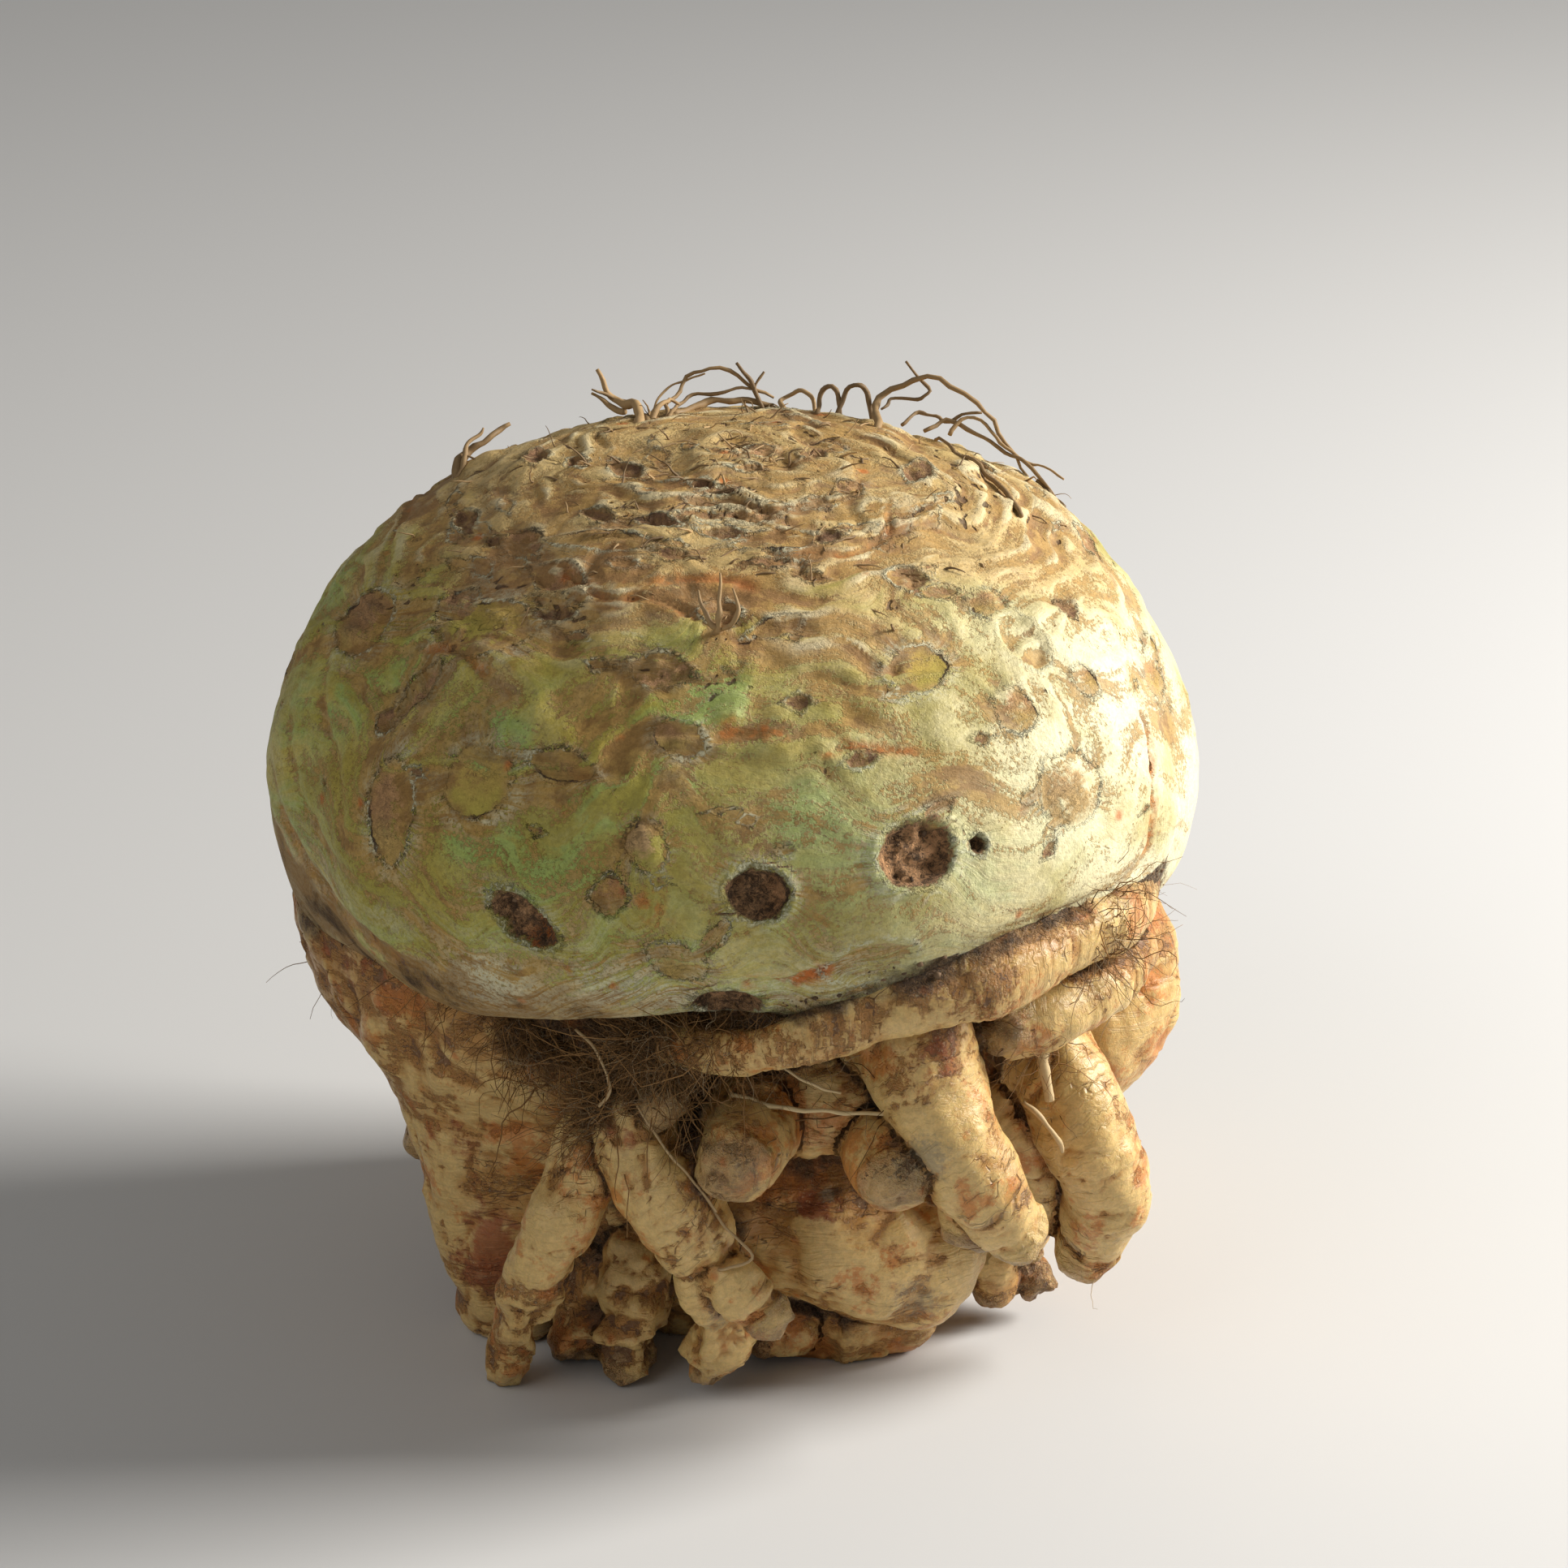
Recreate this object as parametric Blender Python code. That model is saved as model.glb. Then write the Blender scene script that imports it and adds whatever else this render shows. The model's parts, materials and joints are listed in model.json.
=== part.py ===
"""Celeriac root: a swollen, flattened bulb over a knot of thick roots, grown as one piece.

Run with: blender --background --python part.py
Metres, +Z up. The origin is on the surface that the root rests on, in the flat spot's middle,
under the bulb's axis. -Y is the side with the two round knobs.
"""

from math import pi, radians

import bmesh
import bpy
import numpy as np
from mathutils import Euler, Matrix, Vector
from mathutils.bvhtree import BVHTree

MM = 0.001

# The bulb: half of its outline, turned round the axis, as (radius, height) in millimetres from the crown
# down the side, round the lip and back under it to the axis.
BULB_PROFILE_MM = [
    (0, 122.5), (14, 122), (28, 119.6), (41.5, 113.4), (52.5, 104), (59.6, 94.5), (63.2, 86.5), (64.2, 79),
    (62.6, 72), (59.4, 66.6), (55.5, 64), (50, 65), (40, 68), (20, 70), (0, 70),
]
BULB_SIDES = 60
BULB_RINGS = 28
CROWN_SHIFT = Vector((1.5 * MM, 10 * MM, 0))  # the crown sits off the axis, towards the back
BULB_MIDDLE_Z = 80 * MM
BULB_TOP_Z = 122.5 * MM
BULB_DEPTH_SHARE = 0.97  # the bulb is a little shallower from front to back than it is wide

# Swellings and hollows of the bulb's side, as (azimuth, height, half width, half height, rise). Azimuths and
# half widths are in degrees.
BULB_SWELLS = [
    (8, 110 * MM, 34, 12 * MM, 2.0 * MM),
    (-4, 76 * MM, 20, 12 * MM, 1.0 * MM),
    (168, 108 * MM, 34, 14 * MM, 2.2 * MM),
    (206, 84 * MM, 9, 18 * MM, -1.6 * MM),
    (-42, 98 * MM, 26, 16 * MM, 2.0 * MM),
    (-88, 88 * MM, 14, 22 * MM, -1.4 * MM),
    (-122, 92 * MM, 24, 16 * MM, 1.2 * MM),
    (-14, 84 * MM, 7, 20 * MM, -1.4 * MM),
    (22, 96 * MM, 18, 18 * MM, 1.6 * MM),
    (58, 82 * MM, 12, 22 * MM, -1.8 * MM),
    (92, 90 * MM, 22, 18 * MM, 1.8 * MM),
    (134, 84 * MM, 14, 20 * MM, -1.6 * MM),
]
# Where the lip rises above or dips under its mean height: (azimuth in degrees, half width in degrees, rise).
LIP_WAVES = [
    (-45, 20, 6.0 * MM),
    (-6, 16, -5.0 * MM),
    (-128, 18, -3.0 * MM),
    (-92, 14, 2.0 * MM),
    (176, 30, -6.0 * MM),
    (60, 22, 4.0 * MM),
    (130, 18, -4.0 * MM),
]
LIP_WAVE_TOP_Z = 80 * MM
LIP_WAVE_FULL_Z = 66 * MM

# The core under the bulb: outline as (radius, height) in millimetres, and how far it reaches on each side.
CORE_PROFILE_MM = [
    (0, 74), (34, 73), (50, 66), (53.5, 56), (51.5, 46), (46, 36), (41, 25), (37, 14), (30, 5), (18, -1),
    (0, -5),
]
CORE_SIDES = 32
CORE_RINGS = 14
CORE_REACH = [(180, 46, 0.04), (-90, 44, -0.20), (0, 40, -0.08), (-35, 26, -0.10), (135, 30, 0.04)]
CORE_OFFSET = Vector((0, 2 * MM, 0))

# Thick roots, knobs and lobes. Each is a route of (x, y, z, radius) in millimetres from inside the core
# outwards to its tip.
ROOTS_MM = {
    "left_buttress": [
        (-28, -4, 60, 15), (-33, -10, 46, 15), (-31.5, -14, 32, 13.5), (-31, -16, 19, 13),
        (-31, -17, 6, 9),
    ],
    "left_neck": [(-28, 4, 66, 14), (-42.5, 0, 56, 15.5), (-36, -2, 44, 14), (-32, -3, 34, 12.5)],
    "left_prop": [
        (-6, -26, 52, 6), (-16, -37, 43, 5.6), (-22, -43, 33, 5.2), (-26.5, -43, 21, 4.8),
        (-30, -37, 9, 4.0), (-31, -33, 0, 3.2),
    ],
    "middle_fork": [
        (-2, -28, 56, 7), (-11, -40, 50, 6), (-12.5, -45, 42, 5.6), (-8.5, -47, 34, 6),
        (-3, -46, 26, 5), (-1, -42, 15, 4), (-1, -38, 5, 3.8),
    ],
    "fork_finger": [(-9, -40, 33, 5), (-3, -47, 27, 4), (1.5, -49, 23, 3.6), (5.5, -49, 19.5, 3.4)],
    "fork_knuckle": [(-4, -30, 56, 5), (-9, -42, 51, 4.6), (-9, -47, 49, 3.6)],
    "left_knob": [(10, -24, 46, 9), (5, -38, 44.5, 7.4), (1.5, -47, 43, 6.4), (0.5, -49.5, 42.4, 5.8)],
    "right_knob": [(16, -24, 44, 9), (20, -38, 42, 7), (22.5, -46.5, 40.5, 6), (23.2, -49, 40, 5.4)],
    "knob_bridge": [(0, -30, 50, 8), (11, -37, 46, 8.5), (22, -34, 46, 8)],
    "right_claw": [
        (18, -30, 62, 11), (24, -42, 57, 9.5), (27.5, -46.5, 50, 7.6), (31, -49, 43, 6.2),
        (36, -49, 36, 5.6), (39, -47, 30, 4.6),
    ],
    "claw_toe": [(30, -44, 43, 5), (34, -46, 36, 4.6), (34.5, -45, 30.5, 3.8)],
    "right_hook": [
        (34, -14, 52, 9), (42, -24, 47, 7), (47.5, -29, 40, 6.2), (51.5, -30, 31, 6.1),
        (52, -28, 23, 5.8), (50.5, -25, 16, 4.8),
    ],
    "belt": [
        (40, -2, 68, 8), (52, -19, 68, 6.5), (50, -35, 70.5, 5.8), (41, -45.5, 70.5, 5.3),
        (31, -51.5, 68.5, 4.6), (20, -54.5, 65, 4.0), (8, -55.5, 61, 3.6), (-1, -52, 58.5, 3.4),
        (-10, -48, 58.5, 3.2),
    ],
    "belt_under": [
        (40, -4, 61, 8), (52, -19, 63, 6.2), (51, -31, 61, 5.4), (44, -39, 58.5, 5.0),
        (39, -41, 58, 4.6),
    ],
    "right_lobe": [(32, 6, 60, 13), (47, 1, 52, 13), (50.5, -1, 42, 11.5), (47, -2, 31, 8.5)],
    "bottom_lobe": [(-6, -16, 26, 14), (8, -25, 25, 13), (18, -29, 20.5, 11.5), (25, -28, 17, 10)],
    "bottom_shelf": [(-2, -10, 8, 14), (8, -17, 7, 11), (17, -22, 6, 8), (23, -21, 6, 6)],
    "shelf_toe": [(0, -16, 8, 8), (8, -27, 5.5, 5), (5, -30, 4.5, 3.4)],
    "left_cluster_a": [(-8, -12, 14, 10), (-16, -22, 12, 8), (-19, -27, 8, 5.5), (-21, -28, 4, 4)],
    "left_cluster_b": [(-6, -16, 18, 9), (-12, -28, 17, 6.5), (-14, -31, 11, 5), (-14, -30, 5, 4.5)],
    "right_cluster_a": [(22, -8, 26, 9), (33, -14, 19, 6), (37, -17, 12, 4.4), (37, -16, 6, 3.6)],
    "right_cluster_b": [(24, -4, 22, 9), (36, -9, 12, 5.5), (43, -13, 6.5, 4)],
    "right_stem": [(30, -14, 48, 7), (40, -24, 36, 4.6), (43, -22, 25, 4.2), (42, -17, 14, 4)],
    "back_prop_right": [
        (20, 16, 54, 12), (36, 24, 44, 9), (42, 27, 30, 7.5), (40, 24, 16, 6), (36, 20, 4, 4.5),
    ],
    "back_claw": [
        (6, 26, 56, 11), (12, 42, 48, 8.5), (14, 47, 36, 7), (9, 45, 24, 6), (2, 39, 14, 4.6),
    ],
    "back_fork": [
        (-14, 24, 54, 12), (-22, 38, 44, 9), (-24, 41, 31, 7.6), (-20, 37, 18, 6.4), (-18, 31, 5, 5),
    ],
    "back_knob": [(0, 24, 34, 9), (-3, 38, 30, 7), (-4, 43, 27, 5.6)],
    "back_belt": [
        (46, 8, 62, 8), (44, 26, 64, 6.4), (33, 40, 63, 5.4), (19, 48, 62, 4.6), (6, 50, 59, 3.8),
    ],
    "left_back_lobe": [
        (-26, 12, 56, 14), (-36, 14, 46, 12.5), (-36, 14, 33, 10), (-33, 12, 20, 8.5), (-29, 8, 7, 7),
    ],
    "back_lobe": [(14, 28, 40, 13), (24, 35, 29, 11.5), (21, 33, 17, 10), (14, 27, 5, 8)],
    "back_knuckle": [(-8, 28, 38, 12), (-11, 38, 25, 9.5), (-9, 34, 11, 8)],
    "right_back_knob": [(34, 8, 30, 10), (43, 12, 26, 8), (46, 13, 23, 6.5)],
    "left_back_knob": [(-32, 8, 30, 8), (-42, 8, 24, 5.5), (-44, 6, 19, 4.4)],
    "base_mass": [(-8, -4, 22, 19), (-2, -2, 12, 19), (4, 0, 4, 17)],
    "base_back": [(0, 8, 24, 17), (-6, 18, 14, 12), (-8, 22, 6, 8)],
}
ROOT_SIDES = 9
ROOT_RING_STEP = 4.8 * MM
TIP_RINGS = 3

# Dried leaf-stalk fibres that stand out of the crown, as (x, y, z) routes in millimetres.
CROWN_FIBRES_MM = [
    [(-12, 20, 116), (-13, 25, 121.8), (-15.2, 30.5, 121.6), (-17.4, 32, 122.8), (-19, 32.5, 125.6)],
    [
        (-8.9, 25, 117), (-8.7, 31.5, 121.2), (-6.6, 35, 123.4), (-2, 35.4, 124.9), (1.4, 35.1, 123.9),
        (4.5, 34.4, 122), (6, 32, 117),
    ],
    [(5.4, 31, 116), (4.8, 34, 121.2), (3, 35.2, 124), (1, 35.8, 126.3)],
    [(12.4, 30, 117), (12.9, 33.6, 121.8), (13.8, 34.2, 123.2), (14.9, 33.4, 122.8), (15.4, 30, 117)],
    [(15.8, 29, 117), (16, 32.8, 122.4), (18, 32.4, 124), (19.6, 32.4, 122.2), (20, 29, 117)],
    [
        (20.6, 19, 117), (20.8, 25, 121.6), (21, 30.4, 121.8), (22.4, 31.5, 123.6), (25, 31.2, 124.8),
        (28.1, 30.1, 125.6), (31.3, 29.2, 125), (35, 27.8, 122.6), (38, 26.6, 119), (40.6, 24.5, 115.4),
        (42, 21.5, 109),
    ],
    [
        (-36, 15, 109), (-38, 19.5, 115.2), (-37, 24, 116), (-35.4, 25, 117.4), (-33.6, 26.2, 118.5),
        (-31.4, 27.8, 119),
    ],
]
FIBRE_RADIUS = 0.7 * MM
FIBRE_SIDES = 5
FIBRE_RING_STEP = 2.8 * MM

# Leaf scars and root pits, as (azimuth, elevation, half width, half height, depth). The angles are in degrees
# from the bulb's middle, the rest is in millimetres.
PITS = [
    (-66, 8, 5.3, 4.2, 2.6), (-86, 5, 4.0, 3.4, 2.4), (-114, 0, 4.3, 3.2, 2.4), (-100, 10, 2.4, 2.8, 1.6),
    (-104, 4, 2.2, 2.2, 1.4), (-42, 11, 5.6, 4.6, 1.0), (-136, 9, 5.6, 6.6, 1.2), (-124, 15, 5.0, 5.0, 1.2),
    (-113, 19, 4.3, 2.2, 1.0), (-97, 24, 3.2, 2.2, 1.0), (-102, 34, 4.1, 3.0, 1.0), (-58, 31, 4.3, 3.1, 1.0),
    (-45, 22, 2.7, 2.9, 1.2), (-91, 46, 2.7, 4.0, 1.4), (-134, 47, 4.6, 2.6, 1.2), (-49, 45, 3.0, 2.2, 1.2),
    (-12, 59, 3.6, 2.2, 1.2), (-168, 24, 6.0, 5.4, 1.2), (-145, 23, 3.4, 4.1, 1.2), (-9, 15, 3.4, 2.4, 1.2),
    (12, 2, 5.2, 4.4, 2.4), (36, 14, 4.4, 4.4, 1.2), (62, 0, 5.0, 4.2, 2.4), (84, 18, 4.6, 3.8, 1.4),
    (104, 4, 5.0, 4.0, 2.4), (128, 16, 4.4, 5.0, 1.4), (152, 2, 4.6, 4.0, 2.2), (174, 12, 4.2, 3.2, 1.2),
    (50, 34, 4.0, 2.8, 1.2), (96, 36, 4.0, 2.6, 1.2), (140, 34, 3.8, 2.6, 1.2), (8, 30, 3.8, 2.8, 1.2),
]
PIT_SIDES = 8
PIT_RINGS = 6
PIT_BALL_THICKNESS = 1.6  # half the thickness of the ball that cuts a pit, in pit depths
OUTSIDE_REACH = 0.2  # a distance from the bulb's middle that is well outside it
FLOOR_CUT_WIDTH = 300 * MM
FLOOR_CUT_DEPTH = 40 * MM
BOOLEAN_SOLVER = "EXACT"

SKIN_COLOUR = (0.66, 0.56, 0.36, 1.0)
SKIN_ROUGHNESS = 0.72
SHARP_ANGLE = radians(50)


def clear_scene():
    for obj in list(bpy.data.objects):
        bpy.data.objects.remove(obj)


def smooth_line(points, step_count):
    """Catmull-Rom curve through the points, read at step_count + 1 places.

    The places are evenly spaced along the straight distances between the points. Between two points, with t
    going from 0 to 1: start + t/2 * (end - before) + t^2/2 * (2 before - 5 start + 4 end - after)
    + t^3/2 * (3 start - 3 end + after - before).
    """
    points = np.asarray(points, float)
    ends = np.vstack([2 * points[0] - points[1], points, 2 * points[-1] - points[-2]])
    lengths = np.linalg.norm(np.diff(points[:, :3], axis=0), axis=1)
    knots = np.concatenate([[0], np.cumsum(lengths)])
    at = np.linspace(0, knots[-1], step_count + 1)
    k = np.clip(np.searchsorted(knots, at, side="right") - 1, 0, len(points) - 2)
    t = ((at - knots[k]) / lengths[k])[:, None]
    before, start, end, after = ends[k], ends[k + 1], ends[k + 2], ends[k + 3]
    return start + 0.5 * t * (
        end
        - before
        + t * (2 * before - 5 * start + 4 * end - after + t * (3 * (start - end) + after - before))
    )


def bump_of(distance):
    """1 in the middle, falling smoothly to nearly 0 at a distance of 2."""
    return np.exp(-distance * distance)


def turned(degrees):
    """An angle brought between -180 and 180."""
    return (degrees + 180) % 360 - 180


def bulb_surface(azimuth, radius, height):
    """The turned profile made uneven: swellings, a waving lip, and a crown that sits off the axis.

    reach = radius + the sum of rise * side * exp(-(angle / half width)^2) * exp(-(climb / half height)^2),
    where side grows from 0 at the axis to 1 at 40 mm, so that the pole stays one point.
    """
    degrees = np.degrees(azimuth)
    side = np.clip(radius / (40 * MM), 0, 1)
    reach = radius.copy()
    for middle, level, half_width, half_height, rise in BULB_SWELLS:
        across, up = turned(degrees - middle) / half_width, (height - level) / half_height
        reach += rise * side * bump_of(across) * bump_of(up)
    lip = np.clip((LIP_WAVE_TOP_Z - height) / (LIP_WAVE_TOP_Z - LIP_WAVE_FULL_Z), 0, 1)
    lip = lip * lip * (3 - 2 * lip) * side
    rise = np.zeros_like(degrees)
    for middle, half_width, wave in LIP_WAVES:
        rise += wave * bump_of(turned(degrees - middle) / half_width)
    shift = np.clip((height - BULB_MIDDLE_Z) / (BULB_TOP_Z - BULB_MIDDLE_Z), 0, 1) ** 2
    return np.stack(
        [
            reach * np.cos(azimuth) + CROWN_SHIFT.x * shift,
            reach * np.sin(azimuth) * BULB_DEPTH_SHARE + CROWN_SHIFT.y * shift,
            height + lip * rise,
        ],
        axis=-1,
    )


def core_surface(azimuth, radius, height):
    """The core's turned profile, reaching further on some sides than on others."""
    degrees = np.degrees(azimuth)
    share = np.ones_like(degrees)
    for middle, half_width, reach in CORE_REACH:
        share += reach * bump_of(turned(degrees - middle) / half_width)
    return np.stack(
        [
            radius * share * np.cos(azimuth) + CORE_OFFSET.x,
            radius * share * np.sin(azimuth) + CORE_OFFSET.y,
            height,
        ],
        axis=-1,
    )


def mesh_object(name, points, faces, collection):
    """A closed mesh from points and faces, its normals pointing out."""
    mesh = bpy.data.meshes.new(name)
    mesh.from_pydata([tuple(p) for p in points], [], faces)
    model = bmesh.new()
    model.from_mesh(mesh)
    bmesh.ops.recalc_face_normals(model, faces=model.faces)
    model.to_mesh(mesh)
    model.free()
    obj = bpy.data.objects.new(name, mesh)
    collection.objects.link(obj)
    return obj


def ringed_mesh(name, rings, collection, first_pole=None, last_pole=None):
    """Rings of equal length bridged into a tube. Each end closes on its pole, or flat where it has none."""
    count, sides = rings.shape[:2]
    points = list(rings.reshape(-1, 3))
    faces = []
    for i in range(count - 1):
        for j in range(sides):
            k = (j + 1) % sides
            faces.append((i * sides + j, i * sides + k, (i + 1) * sides + k, (i + 1) * sides + j))
    for pole, start in ((first_pole, 0), (last_pole, (count - 1) * sides)):
        ring = [start + j for j in range(sides)]
        if pole is None:
            faces.append(tuple(ring))
            continue
        points.append(pole)
        faces.extend((len(points) - 1, ring[j], ring[(j + 1) % sides]) for j in range(sides))
    return mesh_object(name, points, faces, collection)


def turned_body(name, profile_mm, surface, sides, rings, collection):
    """A profile turned round the axis, then shaped by surface(azimuth, radius, height)."""
    profile = smooth_line(np.array(profile_mm, float) * MM, rings)
    azimuth = np.arange(sides) * 2 * pi / sides
    grid_azimuth, grid_radius = np.meshgrid(azimuth, profile[1:-1, 0])
    grid_height = np.repeat(profile[1:-1, 1:2], sides, axis=1)
    body = surface(grid_azimuth, grid_radius, grid_height)
    poles = [
        surface(np.zeros(1), np.zeros(1), profile[end : end + 1, 1] if end == 0 else profile[-1:, 1])[0]
        for end in (0, -1)
    ]
    return ringed_mesh(name, body, collection, poles[0], poles[1])


def carried_frames(line):
    """Two directions across the line at each of its points, carried along so that they don't twist."""
    along = np.gradient(line, axis=0)
    along /= np.linalg.norm(along, axis=1)[:, None]
    first = np.cross(along[0], (0.31, 0.83, 0.46))
    across = [first / np.linalg.norm(first)]
    for direction in along[1:]:
        carried = across[-1] - direction * across[-1].dot(direction)
        across.append(carried / np.linalg.norm(carried))
    across = np.array(across)
    return across, np.cross(along, across), along


def tapered_tube(name, route, sides, ring_step, collection):
    """A round root: a ring at each step of the route, and a domed tip.

    The tip's rings lie at radius * rise past the route's end, and their radius is radius * sqrt(1 - rise^2).
    """
    route = np.asarray(route, float)
    length = np.linalg.norm(np.diff(route[:, :3], axis=0), axis=1).sum()
    line = smooth_line(route, max(4, round(length / ring_step)))
    centres, radii = line[:, :3], line[:, 3]
    across, over, along = carried_frames(centres)
    angle = np.arange(sides) * 2 * pi / sides
    turn = (np.cos(angle)[:, None] * across[:, None, :]) + (np.sin(angle)[:, None] * over[:, None, :])
    rings = centres[:, None, :] + radii[:, None, None] * turn
    dome = np.sin(np.arange(1, TIP_RINGS) / TIP_RINGS * pi / 2)
    tip_rings = [
        centres[-1] + radii[-1] * (rise * along[-1] + np.sqrt(1 - rise * rise) * turn[-1]) for rise in dome
    ]
    rings = np.concatenate([rings, np.array(tip_rings)])
    return ringed_mesh(name, rings, collection, None, centres[-1] + along[-1] * radii[-1])


def evaluated_mesh(obj):
    bpy.context.view_layer.update()
    return bpy.data.meshes.new_from_object(obj.evaluated_get(bpy.context.evaluated_depsgraph_get()))


def join_or_cut(body, collection, operation):
    """One Boolean of the body with every object of the collection, applied. The objects are then removed."""
    modifier = body.modifiers.new(operation.lower(), "BOOLEAN")
    modifier.operand_type = "COLLECTION"
    modifier.collection = collection
    modifier.operation = operation
    modifier.solver = BOOLEAN_SOLVER
    joined = evaluated_mesh(body)
    body.modifiers.clear()
    body.data = joined
    for obj in list(collection.objects):
        bpy.data.objects.remove(obj)
    bpy.data.collections.remove(collection)


def keep_outer_shell(body):
    """Drops the sealed hollows and loose scraps that a Boolean leaves, so that one closed surface remains."""
    model = bmesh.new()
    model.from_mesh(body.data)
    shells, waiting = [], set(model.faces)
    while waiting:
        front = [waiting.pop()]
        shell = set(front)
        while front:
            found = {face for edge in front.pop().edges for face in edge.link_faces} & waiting
            waiting -= found
            shell |= found
            front.extend(found)
        shells.append(shell)
    outer = max(shells, key=len)
    bmesh.ops.delete(model, geom=[face for face in model.faces if face not in outer], context="FACES")
    model.to_mesh(body.data)
    model.free()


def new_collection(name):
    collection = bpy.data.collections.new(name)
    bpy.context.scene.collection.children.link(collection)
    return collection


def pit_cutter(name, skin, pit, cutters):
    """A flattened ball, sunk to the pit's depth where a line from the bulb's middle leaves the skin.

    The ball is half_thickness thick and lifted by half_thickness - depth, so where it crosses the skin it is
    sqrt(1 - (lift / half_thickness)^2) as wide as it is in its middle. The spread makes up for that.
    """
    azimuth, elevation, half_width, half_height, depth = pit
    middle = Vector((0, 0, BULB_MIDDLE_Z))
    direction = Vector((1, 0, 0))
    direction.rotate(Euler((0, -np.radians(elevation), np.radians(azimuth))))
    place, normal, _, _ = skin.ray_cast(middle + direction * OUTSIDE_REACH, -direction)
    sideways = Vector((0, 0, 1)).cross(normal).normalized()
    upwards = normal.cross(sideways)
    half_thickness = PIT_BALL_THICKNESS * depth * MM
    lift = half_thickness - depth * MM
    spread = MM / np.sqrt(1 - (lift / half_thickness) ** 2)
    rows = (sideways * half_width * spread, upwards * half_height * spread, normal * half_thickness)
    to_skin = Matrix(rows)
    model = bmesh.new()
    bmesh.ops.create_uvsphere(model, u_segments=PIT_SIDES, v_segments=PIT_RINGS, radius=1.0)
    mesh = bpy.data.meshes.new(name)
    model.to_mesh(mesh)
    model.free()
    mesh.transform(Matrix.Translation(place + normal * lift) @ to_skin.transposed().to_4x4())
    cutters.objects.link(bpy.data.objects.new(name, mesh))


def floor_cutter(cutters):
    """A block whose top is the surface that the root rests on, so that what it meets is cut flat."""
    model = bmesh.new()
    bmesh.ops.create_cube(model, size=1.0)
    mesh = bpy.data.meshes.new("floor_cutter")
    model.to_mesh(mesh)
    model.free()
    size = Matrix.Diagonal((FLOOR_CUT_WIDTH, FLOOR_CUT_WIDTH, FLOOR_CUT_DEPTH, 1))
    mesh.transform(Matrix.Translation((0, 0, -FLOOR_CUT_DEPTH / 2)) @ size)
    cutters.objects.link(bpy.data.objects.new("floor_cutter", mesh))


def skin_material():
    material = bpy.data.materials.new("celeriac_skin")
    material.use_nodes = True
    shader = material.node_tree.nodes["Principled BSDF"]
    shader.inputs["Base Color"].default_value = SKIN_COLOUR
    shader.inputs["Roughness"].default_value = SKIN_ROUGHNESS
    return material


def main():
    clear_scene()
    parts = new_collection("what_grows_from_the_bulb")
    root = turned_body(
        "celeriac", BULB_PROFILE_MM, bulb_surface, BULB_SIDES, BULB_RINGS, bpy.context.scene.collection
    )
    turned_body("core", CORE_PROFILE_MM, core_surface, CORE_SIDES, CORE_RINGS, parts)
    for name, route in ROOTS_MM.items():
        tapered_tube(name, np.array(route) * MM, ROOT_SIDES, ROOT_RING_STEP, parts)
    for number, route in enumerate(CROWN_FIBRES_MM):
        with_radius = [(*point, FIBRE_RADIUS / MM) for point in route]
        tapered_tube(f"fibre_{number}", np.array(with_radius) * MM, FIBRE_SIDES, FIBRE_RING_STEP, parts)
    skin = BVHTree.FromObject(root, bpy.context.evaluated_depsgraph_get())
    join_or_cut(root, parts, "UNION")
    keep_outer_shell(root)
    cutters = new_collection("what_is_cut_away")
    for number, pit in enumerate(PITS):
        pit_cutter(f"pit_{number}", skin, pit, cutters)
    floor_cutter(cutters)
    join_or_cut(root, cutters, "DIFFERENCE")
    keep_outer_shell(root)
    root.data.materials.clear()
    root.data.materials.append(skin_material())
    root.data.shade_smooth()
    root.data.set_sharp_from_angle(angle=SHARP_ANGLE)


main()
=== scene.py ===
# %% [markdown]
# # A celeriac root, modelled with surfaces worked out in numpy
#
# A celeriac is the swollen base of a plant's stem with its roots below it. Its look comes from three
# things: a bulb whose skin is drawn round many leaf scars, a knot of thick blunt roots under the bulb's
# lip, and what clings to both: soil, root hairs and dried fibres. The lesson makes them in that order.
#
# Sculpting by hand would also give such a thing. Here every form is a formula on arrays of points instead,
# so each lump and scar has a name and a size, and can be changed by one number.

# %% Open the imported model
import json
from math import pi, radians

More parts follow.
